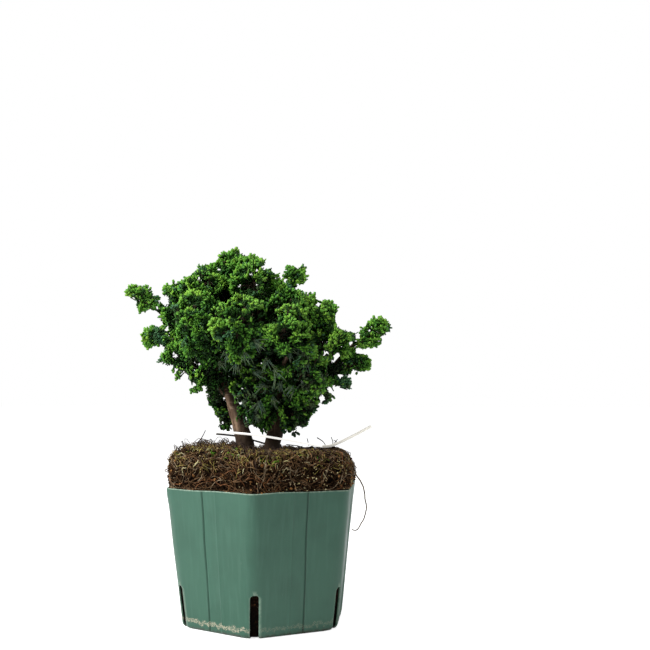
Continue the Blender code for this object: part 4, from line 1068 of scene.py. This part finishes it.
def even_ways(count, draw):
    """Directions spread evenly over a sphere along a spiral, each nudged a little."""
    turn = math.pi * (3 - math.sqrt(5)) * np.arange(count)
    z = 1 - 2 * (np.arange(count) + 0.5) / count
    flat = np.sqrt(1 - z * z)
    ways = np.stack([flat * np.cos(turn), flat * np.sin(turn), z], axis=-1)
    return unit(ways + draw.uniform(-0.18, 0.18, (count, 3)))


def square_to(out):
    """Two directions square to each outward one: the more upward of them comes first."""
    across = unit(np.cross(np.where(np.abs(out[:, 2:]) < 0.95, (0, 0, 1.0), (1.0, 0, 0)), out))
    return np.cross(out, across), across


def limb_gap(points):
    """How far each point is from the bark of the nearest limb."""
    gap = np.full(len(points), np.inf)
    for line in LIMB_LINES.values():
        for a, b in zip(line[::4], line[4::4]):
            away = np.linalg.norm(points - nearest_on(a[:3], b[:3], points), axis=-1)
            gap = np.minimum(gap, away - max(a[3], b[3]))
    return gap


def fan_rows(root, way, lay, long, fork, inner=0.0):
    """The frames of some fans, one row for each: foot, heading, width direction, length, fork, and 1 for
    those that fill the core."""
    inner = np.full((len(root), 1), inner)
    return np.concatenate([root, way, lay, long[:, None], fork, inner], axis=1)


def grow(name, room):
    """One mass by the rule of its branchlets: they stand evenly round the core and lean upward, and each
    carries a few fans that spread from it. A few more, unlit, fill the core. Gives the stem's stops and the
    fans."""
    draw = np.random.default_rng(GROW_SEED + mass_names.index(name))
    centre, half, radius, _ = room
    limb, height = MASSES[name][3]
    line = LIMB_LINES[limb]
    start = (line[-1] if height is None else at_height(line, height))[:3]
    lead = unit(centre - start + (0, 0, 0.4 * radius)) * 0.35 * radius if not half.any() else half
    lead = lead if (centre - start) @ lead > 0 else -lead
    area = 4 * math.pi * radius * (radius + np.linalg.norm(half))
    count = round((5 + 0.0011 * area) * FINER)
    full = SPRAY_LENGTH * min(1.0, max(radius, 12) / FULL_SIZE_RADIUS)
    out = even_ways(count, draw)
    root = centre + lead * np.clip(out @ unit(lead) + draw.uniform(-0.4, 0.4, count), -1, 1)[:, None]
    core = radius * CORE_SHARE * draw.uniform(0.55, 1.3, count)
    fork = root + out * np.clip(reach_of(room, root, out) - 2.0, 0.0, core)[:, None]
    up, across = square_to(out)
    spread = np.where(out[:, 2] > LOW_SIDE, RISE, math.pi)
    rise, lean = draw.uniform(-1, 1, count) * spread, draw.uniform(*BRANCH_LEAN, count)
    aside = up * np.cos(rise)[:, None] + across * np.sin(rise)[:, None]
    way = out * np.cos(lean)[:, None] + aside * np.sin(lean)[:, None]
    lay = np.cross(out, aside)
    rows = []
    for k in range(FANS):
        side = (k - (FANS - 1) / 2) * FAN_STEP + draw.normal(0, 0.16, (count, 1))
        lift = draw.normal(0.1, 0.34, (count, 1))
        fan_way = unit(way + lay * side + out * lift)
        fan_root = fork + way * full * draw.uniform(0.0, 0.28, (count, 1)) + lay * side * full * 0.14
        flat = unit(np.cross(fan_way, lay))
        roll = draw.normal(0, 0.4, (count, 1))
        fan_lay = unit(np.cross(flat, fan_way))
        fan_lay = fan_lay * np.cos(roll) + np.cross(fan_way, fan_lay) * np.sin(roll)
        long = np.minimum(full * draw.uniform(*FAN_SHARE, count), reach_of(room, fan_root, fan_way) / 0.95)
        keep = (long > SHORTEST_FAN) & holds(room, fan_root)
        rows.append(fan_rows(fan_root, fan_way, fan_lay, long, fork)[keep])
    count = round(count * 0.9)
    out = even_ways(count, draw)
    root = centre + lead * draw.uniform(-0.8, 0.8, (count, 1))
    fan_root = root + out * radius * draw.uniform(0.12, 0.45, (count, 1))
    fan_way = unit(out + draw.normal(0, 0.5, (count, 3)))
    keep = holds(room, fan_root)
    long = np.minimum(draw.uniform(7, 10, count), reach_of(room, fan_root, fan_way))
    rows.append(fan_rows(fan_root, fan_way, unit(np.cross(fan_way, out[::-1])), long, root, 1.0)[keep])
    stem = np.array([start, (start + centre - lead) / 2, centre - lead, centre, centre + lead])
    return stem, np.concatenate(rows)


def fan_plan():
    """A fan laid flat, one unit long: a rib with three pairs of side ribs, and blunt leaves on the ribs'
    ends. Rows of leaves hold the foot, the heading and how near the fan's tip it is. Rows of ribs hold their
    two ends."""
    leaves, ends = [], []
    ribs = [(0.0, 0.0, 0.66)]
    for x, degrees, long in ((0.06, 64, 0.34), (0.22, 54, 0.38), (0.42, 42, 0.28)):
        for side in (1, -1):
            ribs.append((x + 0.03 * side, side * math.radians(degrees), long))
    for i, (x, heading, long) in enumerate(ribs):
        end = x + math.cos(heading) * long, math.sin(heading) * long
        ends.append((x, 0.0, *end))
        for degrees in (-64, -32, 0, 32, 64) if i == 0 else (-44, 0, 44):
            turn = heading + math.radians(degrees)
            leaves.append((end[0] - 0.08, end[1] * 0.9, turn, min(1.0, end[0] + math.cos(turn) * 0.3)))
    return np.array(leaves), np.array(ends)


PLAN, RIBS = fan_plan()
# A blunt scale leaf, one unit long, wide and thick: a point at its foot, and rings of three points at its
# shoulder and at its blunt end.
LEAF = np.array(
    [(0, 0, 0)]
    + [(0.45, 0.50 * y, 0.50 * z) for y, z in ((1, -0.35), (0, 0.9), (-1, -0.35))]
    + [(0.92, 0.36 * y, 0.32 * z + 0.06) for y, z in ((1, -0.35), (0, 0.9), (-1, -0.35))]
)
LEAF_FACES = np.array(
    [(0, 1 + (k + 1) % 3, 1 + k) for k in range(3)]
    + [(1 + k, 1 + (k + 1) % 3, 4 + (k + 1) % 3) for k in range(3)]
    + [(1 + k, 4 + (k + 1) % 3, 4 + k) for k in range(3)]
    + [(4, 5, 6)]
)
LEAF_TIP = np.array([0, 0.35, 0.35, 0.35, 1, 1, 1])  # how near the blunt end each point is
LEAF_SIZE = (3.5, 1.75, 0.9)  # its mean length, width and thickness
FULL_FAN = 9.5  # fans of this length and more keep all their leaves
SIDE_RIB_FAN = 6.5  # and shorter ones than this have no side ribs
GREENS = [  # from the darkest painted shade to the brightest painted light
    (0.005, 0.0115, 0.0038), (0.011, 0.032, 0.007), (0.021, 0.069, 0.013), (0.038, 0.124, 0.018),
    (0.062, 0.195, 0.023), (0.093, 0.269, 0.029), (0.130, 0.338, 0.036), (0.186, 0.405, 0.048),
]
BLUER = [(0.060, 0.158, 0.062), (0.026, 0.076, 0.030)]  # the undersides of some fans, in painted light and in painted shade
DULLER = [(0.078, 0.130, 0.052), (0.030, 0.044, 0.020)]  # and older fans, low down, in painted light and in painted shade


def leaf_arrays(draw, fans, bright):
    """The leaves of some fans: their feet, their three directions scaled to their length, width and
    thickness, and their painted light and shade, from 0 at the darkest. Short fans keep fewer of them. The
    ribs' two ends come last."""
    count, each = len(fans), len(PLAN)
    root, way, lay = fans[:, None, 0:3], fans[:, None, 3:6], fans[:, None, 6:9]
    long = fans[:, 9][:, None, None]
    flat = np.cross(way, lay)
    cup = draw.normal(0.0, 0.32, (count, 1, 1))

    def on_fan(x, y):
        """Points of each fan, which is cupped by the square of the distance from its foot."""
        bowl = (x**2 + 1.6 * y**2)[:, None] * cup
        return root + long * (x[:, None] * way + y[:, None] * lay + bowl * flat)

    x, y, heading, tip = PLAN.T
    foot = on_fan(x, y) + flat * draw.normal(0, 0.05, (count, each, 1)) * long
    ribs = np.stack([on_fan(RIBS[:, 0], RIBS[:, 1]), on_fan(RIBS[:, 2], RIBS[:, 3])], axis=2)
    ribs = np.concatenate([ribs[:, 0], ribs[fans[:, 9] > SIDE_RIB_FAN, 1:].reshape(-1, 2, 3)])
    turn = (heading + draw.normal(0, 0.18, (count, each)))[..., None]
    tilt = draw.normal(0.0, 0.32, (count, each, 1)) + 1.2 * cup * tip[None, :, None]
    along = unit(np.cos(turn) * way + np.sin(turn) * lay + tilt * flat)
    side = unit(np.cross(flat, along))
    roll = draw.normal(0, 0.5, (count, each, 1))
    side = side * np.cos(roll) + np.cross(along, side) * np.sin(roll)
    up = np.cross(along, side)
    grown = draw.uniform(0.8, 1.15, (count, each, 1))
    sizes = [size * grown * draw.uniform(0.9, 1.1, (count, each, 1)) for size in LEAF_SIZE]
    # Leaves nearer a fan's tip are brighter: partly their new growth, partly painted shade at the fan's foot.
    shade = bright[:, None] + 1.9 * (tip - 0.66) + draw.normal(0, 0.55, (count, each))
    keep = draw.random((count, each)) < ((fans[:, 9] / FULL_FAN) ** 1.3)[:, None]
    axes = np.stack([v * s for v, s in zip((along, side, up), sizes)], axis=-2)
    return foot[keep], axes[keep], shade[keep], ribs


def leaf_green(name, colour):
    """One green of the scale leaves: darker at each leaf's foot, partly its own colour and partly painted
    shade, with a slight drift to yellow and blue.
    """
    made, tree, shader, place = new_finish(name, 0.55, 0.12)
    patch = grain(tree, place, 260, 2)
    cool = (colour[0] * 0.78, colour[1] * 0.88, colour[2] * 1.1, 1)
    warm = (colour[0] * 1.22, colour[1] * 1.10, colour[2] * 0.9, 1)
    green = laid_over(tree, between(tree, patch, 0.3, 0.7), cool, warm)
    # each leaf's foot is darker: partly its own colour, partly painted shade
    tip = attribute(tree, "tip")
    foot = (colour[0] * 0.42, colour[1] * 0.38, colour[2] * 0.5, 1)
    coloured(tree, shader, laid_over(tree, between(tree, tip, 0.0, 0.8), foot, green))
    return made


mass_names = list(MASSES)
rooms = {name: room_of(name) for name in mass_names}
twig_paths, twig_sizes, feet, frames_of, shades, rib_paths = [], [], [], [], [], []


def dress(draw, fans, bright, room=None):
    """Adds the leaves and ribs of some fans that keep to their room and clear of the limbs and the gaps. Each
    leaf's green is darker the deeper in the whole crown it ends: painted shade, and paler new growth at its
    skin."""
    foot, axes, shade, ribs = leaf_arrays(draw, fans, bright)
    between_ends = ribs.mean(axis=1)
    clear = (limb_gap(between_ends) > RIB_CLEAR) & ~in_a_gap(between_ends)
    if room is not None:
        clear &= holds(room, ribs[:, 1])
    rib_paths.append(ribs[clear])
    middle, tip = foot + axes[:, 0] * 0.5, foot + axes[:, 0]
    keep = limb_gap(middle) > LEAF_CLEAR
    keep &= ~(in_a_gap(foot) | in_a_gap(middle) | in_a_gap(tip))
    if room is not None:
        keep &= holds(room, foot + axes[:, 0] * 0.6)
    deep = np.max([other[2] * (1 - depth_in(other, tip)) for other in rooms.values()], axis=0)
    # painted shade, with paler new growth at the skin: darker the deeper the tip lies in any room
    shade = shade + 0.85 - 0.28 * np.clip(deep, 0, 5) - 0.1 * np.clip(deep - 5, 0, 9)
    feet.append(foot[keep])
    frames_of.append(axes[keep])
    shades.append(shade[keep])


def shades_of(draw, name, fans):
    """The painted light and shade of a mass's fans: brighter to the right, as painted fill light on the side
    away from the key light; brighter high up in the crown and in the mass, and darker low down, as painted
    light from above; in slow patches of their own tone; and painted dark in the core, where shade falls."""
    centre, _, radius, _ = rooms[name]
    middle = fans[:, 0:3] + fans[:, 3:6] * fans[:, 9:10] * 0.6
    x, z = middle[:, 0], middle[:, 2]
    bright = 5.2 + 0.3 * smooth_step(-50, -20, x) + 0.8 * (z - 175) / 55
    bright = bright + 0.5 * ((z - centre[2]) / radius) - 3.0 * fans[:, 13] + LIFT.get(name, 0.0)
    bright = bright + 0.3 * smooth_step(-40, -5, x) + 0.4 * smooth_step(5, 40, x)
    patchy = 1.5 + 0.9 * smooth_step(178, 150, z)
    bright = bright + patchy * (drift(fans[:, 10:13], 7.0) - 0.08) - 0.5 * smooth_step(175, 150, z)
    return bright + draw.normal(0, 0.7, len(fans)) + draw.normal(0, 0.2)


def add_twigs(paths, sizes):
    """Adds twigs of four points each, with the radii that they all have there."""
    twig_paths.append(paths)
    twig_sizes.append(np.tile(np.array(sizes), (len(paths), 1)))


for name, room in rooms.items():
    draw = np.random.default_rng(DRESS_SEED + mass_names.index(name))
    stem, fans = grow(name, room)
    dress(draw, fans, shades_of(draw, name, fans), room)
    add_twigs(course(stem, 3)[None], np.linspace(0.95, 0.5, 4))
    fork, root = fans[:, 10:13], fans[:, 0:3]
    base = nearest_on(stem[2], stem[4], fork)
    bow = (base + fork) / 2 + draw.normal(0, 0.5, fork.shape)
    add_twigs(np.stack([base, (base + bow) / 2, bow, fork], axis=1)[:: FANS // 2], np.linspace(0.5, 0.32, 4))
    thirds = [fork, (2 * fork + root) / 3, (fork + 2 * root) / 3, root]
    add_twigs(np.stack(thirds, axis=1), (0.32, 0.3, 0.28, 0.24))

# Small sprigs give the crown its ragged edge. Each is a twig with three fans, which runs out from its mass's
# middle to a stated tip.
SPRIGS = {  # by mass: each one's tip as seen from the viewpoint, across and up, and its length
    "left_shoulder": [
        (-62.3, 214.6, 7), (-57.7, 214.9, 4), (-49.2, 218.7, 8), (-53.7, 215.5, 8), (-65.2, 192.2, 6),
        (-66.5, 194.7, 6), (-45.4, 220.3, 7),
    ],
    "left_spur": [
        (-86.3, 213.9, 8), (-87.6, 211.0, 7), (-79.0, 195.7, 7), (-75.8, 195.7, 6), (-72.6, 211.7, 6),
        (-66.5, 204.0, 6), (-83.8, 213.6, 7), (-76.7, 212.6, 6), (-80.6, 201.1, 7), (-72.9, 200.5, 7),
        (-69.7, 198.6, 6),
    ],
    "left_low_spur": [
        (-77.4, 181.3, 8), (-76.7, 186.1, 8), (-74.8, 175.7, 7), (-71.3, 175.3, 7), (-73.9, 187.4, 8),
        (-70.3, 187.4, 7), (-78.3, 178.1, 6), (-67.8, 183.8, 7),
    ],
    "left_lower": [
        (-68.5, 166.9, 8), (-64.6, 164.3, 8), (-61.1, 163.0, 7), (-56.9, 153.1, 7), (-56.3, 156.3, 6),
        (-53.1, 157.6, 7), (-47.0, 146.4, 7), (-46.3, 143.2, 6), (-42.2, 144.8, 6), (-39.6, 145.1, 6),
    ],
    "left_fringe": [
        (-35.5, 138.4, 7), (-31.6, 131.4, 7), (-27.5, 123.7, 7), (-26.8, 119.5, 7), (-22.3, 119.5, 7),
        (-25.5, 129.4, 7), (-20.4, 123.7, 5), (-24.3, 123.0, 7),
    ],
    "crown_top": [
        (-25.5, 236.6, 9), (-18.5, 237.1, 8), (-28.4, 234.4, 9), (-27.5, 231.0, 7), (-22.3, 235.7, 8),
        (-15.3, 231.8, 7),
    ],
    "crown_front": [
        (-7.6, 234.1, 8), (0.7, 229.0, 8), (-1.2, 231.2, 8), (-4.4, 231.8, 7),
    ],
    "upper_left": [
        (-41.5, 226.6, 8), (-37.1, 227.6, 8), (-32.6, 227.2, 8), (-29.4, 226.2, 8), (-43.5, 223.5, 7),
        (-27.5, 228.6, 7),
    ],
    "centre_low": [
        (-1.2, 119.5, 8), (1.3, 117.9, 7), (-10.2, 127.5, 7), (-4.4, 123.7, 6),
    ],
    "low_right": [
        (12.6, 119.0, 6), (20.9, 115.4, 7), (33.3, 132.0, 6), (25.7, 123.0, 6), (18.0, 120.5, 6),
    ],
    "right_lower": [
        (41.7, 138.1, 8), (43.6, 142.9, 8), (38.1, 136.8, 6), (39.7, 136.8, 7), (58.3, 149.6, 9),
        (56.1, 153.8, 8), (53.8, 151.2, 8), (51.9, 148.6, 7),
    ],
    "right_upper": [
        (9.3, 218.7, 8), (12.2, 217.4, 7), (14.8, 213.9, 8), (18.0, 211.4, 8), (12.9, 213.9, 7),
    ],
    "right_top_spur": [
        (17.8, 226.1, 6), (25.2, 226.5, 6), (12.2, 220.1, 7), (28.2, 218.4, 6), (14.1, 219.0, 7),
        (21.8, 213.0, 7), (17.3, 213.3, 7), (26.9, 214.6, 6),
    ],
    "right_shoulder": [
        (31.7, 208.5, 7), (33.0, 204.3, 7), (39.7, 204.0, 8), (45.2, 202.7, 8), (49.3, 199.2, 8),
        (26.3, 209.4, 7), (45.8, 194.7, 6), (46.8, 189.6, 7),
    ],
    "right_mid": [
        (56.4, 183.5, 8), (57.2, 182.0, 6), (50.0, 186.1, 7), (57.7, 180.0, 6), (44.2, 189.6, 9),
        (41.7, 186.4, 9),
    ],
    "right_spur": [
        (63.1, 188.3, 6), (77.5, 192.8, 7), (81.7, 189.9, 8), (80.4, 186.4, 7), (79.7, 183.2, 6),
        (75.6, 175.5, 8), (70.5, 173.6, 7), (66.6, 173.0, 6), (69.2, 191.5, 7), (73.0, 192.2, 6),
        (60.2, 179.0, 6), (62.8, 177.4, 6), (65.3, 181.3, 7),
    ],
    "right_low_spur": [
        (69.2, 167.8, 8), (69.2, 164.6, 8), (66.9, 158.9, 7), (62.1, 158.2, 6), (56.4, 173.6, 7),
        (59.6, 172.6, 7), (53.8, 171.4, 7), (65.3, 167.8, 6),
    ],
}
draw = np.random.default_rng(77)
ends = np.array([row for rows in SPRIGS.values() for row in rows], float)
home = np.array([rooms[name][0] for name, rows in SPRIGS.items() for _ in rows])
tips = stood_at(ends, home[:, 1] + draw.normal(0, 1.5, len(ends)))
way = unit(tips - home + (0, 0, 2.0))
fork = tips - way * ends[:, 2:] * 1.2
for turn in (-0.45, 0.0, 0.45):
    lay = unit(np.cross((0.1, -1.0, 0.15), way)) + draw.normal(0, 0.25, way.shape)
    lay = unit(lay - way * np.sum(lay * way, axis=1)[:, None])
    fan_way = unit(way + lay * turn + draw.normal(0, 0.15, way.shape))
    fans = fan_rows(fork + way, fan_way, lay, ends[:, 2] * (1.05 - abs(turn) * 0.5), fork)
    # Painted light: higher sprigs are brighter, and low ones are painted darker as shade.
    bright = 4.4 + 0.4 * np.clip((tips[:, 2] - 160) / 55, 0, 1) - 2.0 * np.clip((160 - tips[:, 2]) / 40, 0, 1)
    dress(draw, fans, bright + draw.normal(0, 0.5, len(ends)))
    run = [home, (home + fork) / 2, fork, fork + fan_way * ends[:, 2:] * 0.5]
    add_twigs(np.stack(run, axis=1), (0.4, 0.36, 0.32, 0.2))

# Bare twigs fill the crown's heart, from the nearest limb out, each with a fan at its end painted dark as
# shade.
HEART_TWIGS, HEART_FAN, HEART_SHADE = 150, 9.0, 0.2
HEART_MIDDLE, HEART_HALF = (0, -4, 172), (38, 24, 32)
count = HEART_TWIGS
heart = unit(draw.normal(size=(count, 3))) * draw.uniform(0.3, 1, (count, 1)) * HEART_HALF + HEART_MIDDLE
bark_spots = np.concatenate([line[::4, :3] for line in LIMB_LINES.values()])
near = bark_spots[np.argmin(np.linalg.norm(heart[:, None] - bark_spots, axis=-1), axis=1)]
way = unit(heart - near + draw.normal(0, 3, (count, 3)))
lay = unit(np.cross(way, draw.normal(size=(count, 3))))
dress(draw, fan_rows(heart, way, lay, np.full(count, HEART_FAN), near), np.full(count, HEART_SHADE))
run = [near, (2 * near + heart) / 3, (near + 2 * heart) / 3 + (0, 0, 0.6), heart]
add_twigs(np.stack(run, axis=1), (0.5, 0.45, 0.4, 0.3))

# Short sprays clothe the stems' upper ends and the boughs, all round them, from a step of each one's line on.
STEM_SPRAYS, BOUGH_SPRAYS = (22, 44, 0.2), (8, 30, 1.0)  # the first step, how many, and their painted shade, darker on the stems deep in the crown
for name, line in LIMB_LINES.items():
    first, count, shade = STEM_SPRAYS if name in TRUNKS else BOUGH_SPRAYS
    along = np.linspace(first, LINE_STEPS, count)
    at = np.stack([np.interp(along, np.arange(LINE_STEPS + 1), line[:, k]) for k in range(4)], axis=-1)
    ahead = unit(line[-1, :3] - line[first, :3])
    spun = np.arange(count) * 2.4
    up, across = square_to(np.repeat(ahead[None], count, axis=0))
    away = up * np.cos(spun)[:, None] + across * np.sin(spun)[:, None]
    way = unit(away + ahead * draw.uniform(0.2, 0.9, (count, 1)) + (0, 0, 0.25))
    root = at[:, :3] + away * (at[:, 3:] + 0.2)
    size = (5.0, 7.0) if "spur" in name else (6.5, 9.5)
    fans = fan_rows(root, way, unit(np.cross(way, away + ahead)), draw.uniform(*size, count), at[:, :3])
    dress(draw, fans, shade + draw.normal(0.8, 0.5, count))
    add_twigs(np.stack([at[:, :3], root, root + way * 2, root + way * 4.5], axis=1), (0.35, 0.32, 0.28, 0.18))

# The leaves are dealt out by their painted light and shade to one piece for each green. The fans' ribs are
# one piece, and the twigs another.
feet, frames_of, shades = np.concatenate(feet), np.concatenate(frames_of), np.concatenate(shades)
grade = np.clip(np.round(shades), 0, len(GREENS) - 1).astype(int)
bluish = drift(feet + 300, 5.0) > 0.50
older = drift(feet + 500, 6.0) > 0.15 + 0.7 * smooth_step(150, 175, feet[:, 2])
grade[bluish & (grade > 3) & (grade < 7)] = len(GREENS)
grade[bluish & (grade > 1) & (grade < 4)] = len(GREENS) + 1
grade[older & (grade > 3) & (grade < 6)] = len(GREENS) + 2
grade[older & (grade > 1) & (grade < 4)] = len(GREENS) + 3
for k, colour in enumerate(GREENS + BLUER + DULLER):
    here = grade == k
    points = feet[here][:, None] + LEAF @ frames_of[here]
    faces = LEAF_FACES[None] + (np.arange(here.sum()) * len(LEAF))[:, None, None]
    leaves = made_piece(f"leaves_{k}", points, [faces], leaf_green(f"leaf_green_{k}", colour), VIEW_TURN)
    give_points(leaves, "tip", np.tile(LEAF_TIP, here.sum()))
    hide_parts(*mass_names)
FACING = np.array([0.3, -0.5, 0.8])  # any direction that few of the twigs run along
RIB_RADIUS, RIB_TIP = 0.42, 0.6
ribs = np.concatenate(rib_paths)
points, faces = strands(ribs, np.full((len(ribs), 2), RIB_RADIUS), FACING, 3)
rib_piece = made_piece("fan_ribs", points, faces, bpy.data.materials["leaf_green_2"], VIEW_TURN)
give_points(rib_piece, "tip", np.full(points.size // 3, RIB_TIP))
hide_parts(*mass_names)
twigs, sizes = np.concatenate(twig_paths), np.concatenate(twig_sizes)
bare = in_a_gap(twigs, 0.3).any(axis=1)
points, faces = strands(twigs[~bare], sizes[~bare], FACING, 4)
twig_piece = made_piece("twigs", points, faces, bark("twig_bark", pale=0.1, tone=0.28), VIEW_TURN)
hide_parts(*mass_names)


# Older leaves hang in loose grey-green wisps from the shaded twigs at the front. Each is a spread of fine
# needles that start at one place and droop.
NEEDLES = 12
WISPS = [  # where each starts, and its length
    (-3, -47, 176, 11), (-9, -44, 169, 8), (4, -41, 165, 9), (9, -42, 158, 8), (17, -40, 171, 9),
    (24, -36, 172, 8), (-14, -36, 163, 7), (-4, -33, 157, 9), (3, -26, 149, 9), (-8, -20, 147, 8),
    (12, -30, 151, 8), (20, -32, 148, 7), (-1, -27, 139, 9), (7, -24, 141, 7), (-12, -20, 139, 6),
    (27, -32, 163, 8), (-20, -38, 170, 7), (26, -28, 152, 6), (-4, -20, 131, 6), (-26, -30, 163, 6),
    (34, -24, 158, 7),
]
rows = np.array(WISPS, float)
draw = np.random.default_rng(91)
count = len(rows)
foot = np.repeat(rows[:, None, :3], NEEDLES, axis=1) + draw.normal(0, 0.9, (count, NEEDLES, 3))
angle = np.linspace(-1.0, 1.0, NEEDLES)[None] * draw.uniform(0.4, 1.1, (count, 1))
angle = angle + draw.normal(0, 0.3, (count, NEEDLES)) + draw.normal(0.25, 0.7, (count, 1))
way = np.stack([np.sin(angle), draw.normal(-0.25, 0.3, angle.shape), -np.cos(angle)], axis=-1)
long = rows[:, 3][:, None, None] * draw.uniform(0.35, 0.95, (count, NEEDLES, 1))
droop = draw.normal(0, 0.18, (count, NEEDLES, 3)) * long + (0, 0, -1.2)
t = np.linspace(0, 1, 5)[None, None, :, None]
paths = foot[:, :, None] + (unit(way) * long)[:, :, None] * t + droop[:, :, None] * t**2
radii = np.broadcast_to(np.array([0.16, 0.22, 0.23, 0.2, 0.09]), (count * NEEDLES, 5))
points, faces = strands(paths.reshape(-1, 5, 3), radii, np.array([0, -1.0, 0.2]), 4)
finish = leaf_green("wisp_green", (0.095, 0.145, 0.085))
wisps = made_piece("wisps_grey_green", points, faces, finish, VIEW_TURN)
give_points(wisps, "tip", np.ones(points.size // 3))
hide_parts("centre_front", "centre_low", "right_front", "low_front_right", "low_right")


# A narrow strip of white plastic, left from a tie, lies in front of both stems and bends up again at the
# right, where it is yellower; it is given a painted glow. Its other ply, painted dark as shade, passes behind
# the left stem.
TIE_THICK = 0.5
TIE_STOPS = [
    (-28.7, -9.5, 119.9), (-8.3, -9.5, 118.3), (11.7, -9.5, 115.3), (30.7, -9.5, 111.9), (38.7, -9.5, 110.7),
    (45.7, -9.5, 112.1), (56.7, -9.5, 117.3), (68.2, -9.5, 123.4),
]
TIE_BACK = [
    (-29.4, -9.7, 118.5), (-24.5, -4, 117.7), (-18, 6, 116.2), (-11.5, 9.5, 114.4), (-4.5, 10, 112.4),
    (2.6, 9, 110.4),
]


def strip(line, wide, tilt):
    """A flat strip along a line of points: a thin four-cornered section, tilted towards the viewpoint."""
    rings = len(line)
    along = unit(np.gradient(line, axis=0))
    level = unit(np.cross(along, (0, 0, 1.0)))
    face = np.cross(level, along)
    side = level * math.cos(tilt) + face * math.sin(tilt)
    up = np.cross(side, along)
    corners = np.array([(-1, -1), (1, -1), (1, 1), (-1, 1)]) / 2
    points = line[:, None] + corners[:, :1] * side[:, None] * wide + corners[:, 1:] * up[:, None] * TIE_THICK
    lids = [np.arange(4)[None], np.arange(4)[None, ::-1] + (rings - 1) * 4]
    return points, [grid_faces(rings, 4)[..., ::-1], *lids]


tie_line = course(TIE_STOPS, 90)
front, end = tie_line[:50], tie_line[49:]  # the part in front of the stems, and the end that bends up
for part, line, wide, colours, strength in (
    ("front", front, 1.35, ((0.92, 0.91, 0.89, 1), (0.84, 0.82, 0.76, 1)), 0.85),
    ("end", end, 1.9, ((0.86, 0.82, 0.71, 1), (0.76, 0.71, 0.58, 1)), 0.3),
):
    finish, tree, shader, place = new_finish(f"tie_white_plastic_{part}", 0.45)
    stain = between(tree, grain(tree, place, 160, 5), 0.45, 0.75)
    coloured(tree, shader, laid_over(tree, stain, *colours))
    shader.inputs["Emission Color"].default_value = (1.0, 0.98, 0.94, 1)  # painted glow, so that the strip shows white though the crown shades it
    shader.inputs["Emission Strength"].default_value = strength
    points, faces = strip(line, wide, math.radians(52))
    tie = made_piece(f"tie_strip_{part}", points, faces, finish, VIEW_TURN)
    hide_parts("tie_strip")

# The back ply's dark colour is painted shade.
finish, tree, shader, place = new_finish("tie_back_painted_shade", 0.7, 0.2)
stain = between(tree, grain(tree, place, 240, 5), 0.4, 0.7)
coloured(tree, shader, laid_over(tree, stain, (0.035, 0.026, 0.019, 1), (0.15, 0.12, 0.09, 1)))
points, faces = strip(course(TIE_BACK, 60), 1.0, math.radians(65))
tie_back = made_piece("tie_strip_back", points, faces, finish, VIEW_TURN)
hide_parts("tie_strip")


# The floor is a plain pale sheet, wide enough to meet the pale room behind the pot. It gives off light of its
# own to the viewpoint only, so that it shows as evenly white.
FLOOR_HALF = 4000
floor_points = FLOOR_HALF * np.array([[-1, -1, 0], [1, -1, 0], [1, 1, 0], [-1, 1, 0]])
finish, tree, shader, place = new_finish("pale_floor", 0.9)
tone = laid_over(tree, grain(tree, place, 3), (0.86, 0.86, 0.86, 1), (0.88, 0.88, 0.88, 1))
coloured(tree, shader, tone)
shader.inputs["Emission Color"].default_value = (1, 1, 1, 1)
to_viewpoint = node(tree, "LightPath").outputs["Is Camera Ray"]
tree.links.new(times(tree, to_viewpoint, 0.75), shader.inputs["Emission Strength"])
floor = made_piece("floor", floor_points, [np.array([[0, 1, 2, 3]])], finish)

# The viewpoint stands in front of the pot, to the right of its axis, and looks straight back and level. The
# picture is shifted, so that the horizon lies below its middle.
PICTURE_SIDE, PIXEL = 650, 0.64  # the photograph's side in pixels, and a pixel's size at the pot's axis
HORIZON_DROP = 47  # how far the horizon lies below the picture's middle, in pixels
camera = bpy.data.objects.new("camera", bpy.data.cameras.new("camera"))
c, s = math.cos(VIEW_TURN), math.sin(VIEW_TURN)
camera.location = ((ASIDE * c + DISTANCE * s) * MM, (ASIDE * s - DISTANCE * c) * MM, EYE * MM)
camera.rotation_euler = (math.pi / 2, 0, VIEW_TURN)
camera.data.lens = camera.data.sensor_width / 2 * DISTANCE / (PICTURE_SIDE / 2 * PIXEL)
camera.data.shift_y = HORIZON_DROP / PICTURE_SIDE
camera.data.clip_start, camera.data.clip_end = 0.01, 20
bpy.context.scene.collection.objects.link(camera)
bpy.context.scene.camera = camera

# Three soft lights face the plant: the brightest from the left, a wide one from above, and one low at the
# back on the right. The pale room round them gives the rest, and is white as the viewpoint sees it.
LIGHTS_FACE = 0.12  # metres up on the pot's axis


def soft_light(name, azimuth, elevation, distance, size, power):
    """A square soft light that faces the plant. Azimuth and elevation are in degrees, distance and size in
    metres."""
    lamp = bpy.data.objects.new(name, bpy.data.lights.new(name, "AREA"))
    lamp.data.size = size
    lamp.data.energy = power
    a, e = math.radians(azimuth) + VIEW_TURN, math.radians(elevation)
    back = np.array([math.sin(a) * math.cos(e), -math.cos(a) * math.cos(e), math.sin(e)])
    lamp.location = back * distance + (0, 0, LIGHTS_FACE)
    lamp.rotation_euler = (math.pi / 2 - e, 0, a)
    bpy.context.scene.collection.objects.link(lamp)


soft_light("key", -62, 40, 1.1, 0.42, 15.4)
soft_light("top", 10, 78, 1.1, 0.9, 4.0)
soft_light("rim", 122, 8, 1.1, 0.8, 3.2)
world = bpy.data.worlds.new("pale_room")
bpy.context.scene.world = world
world.use_nodes = True
sky = world.node_tree
to_viewpoint = node(sky, "LightPath").outputs["Is Camera Ray"]
glow = laid_over(sky, to_viewpoint, (0.30, 0.305, 0.31, 1), (1, 1, 1, 1))
sky.links.new(glow, sky.nodes["Background"].inputs["Color"])
bpy.context.scene.view_settings.view_transform = "Standard"
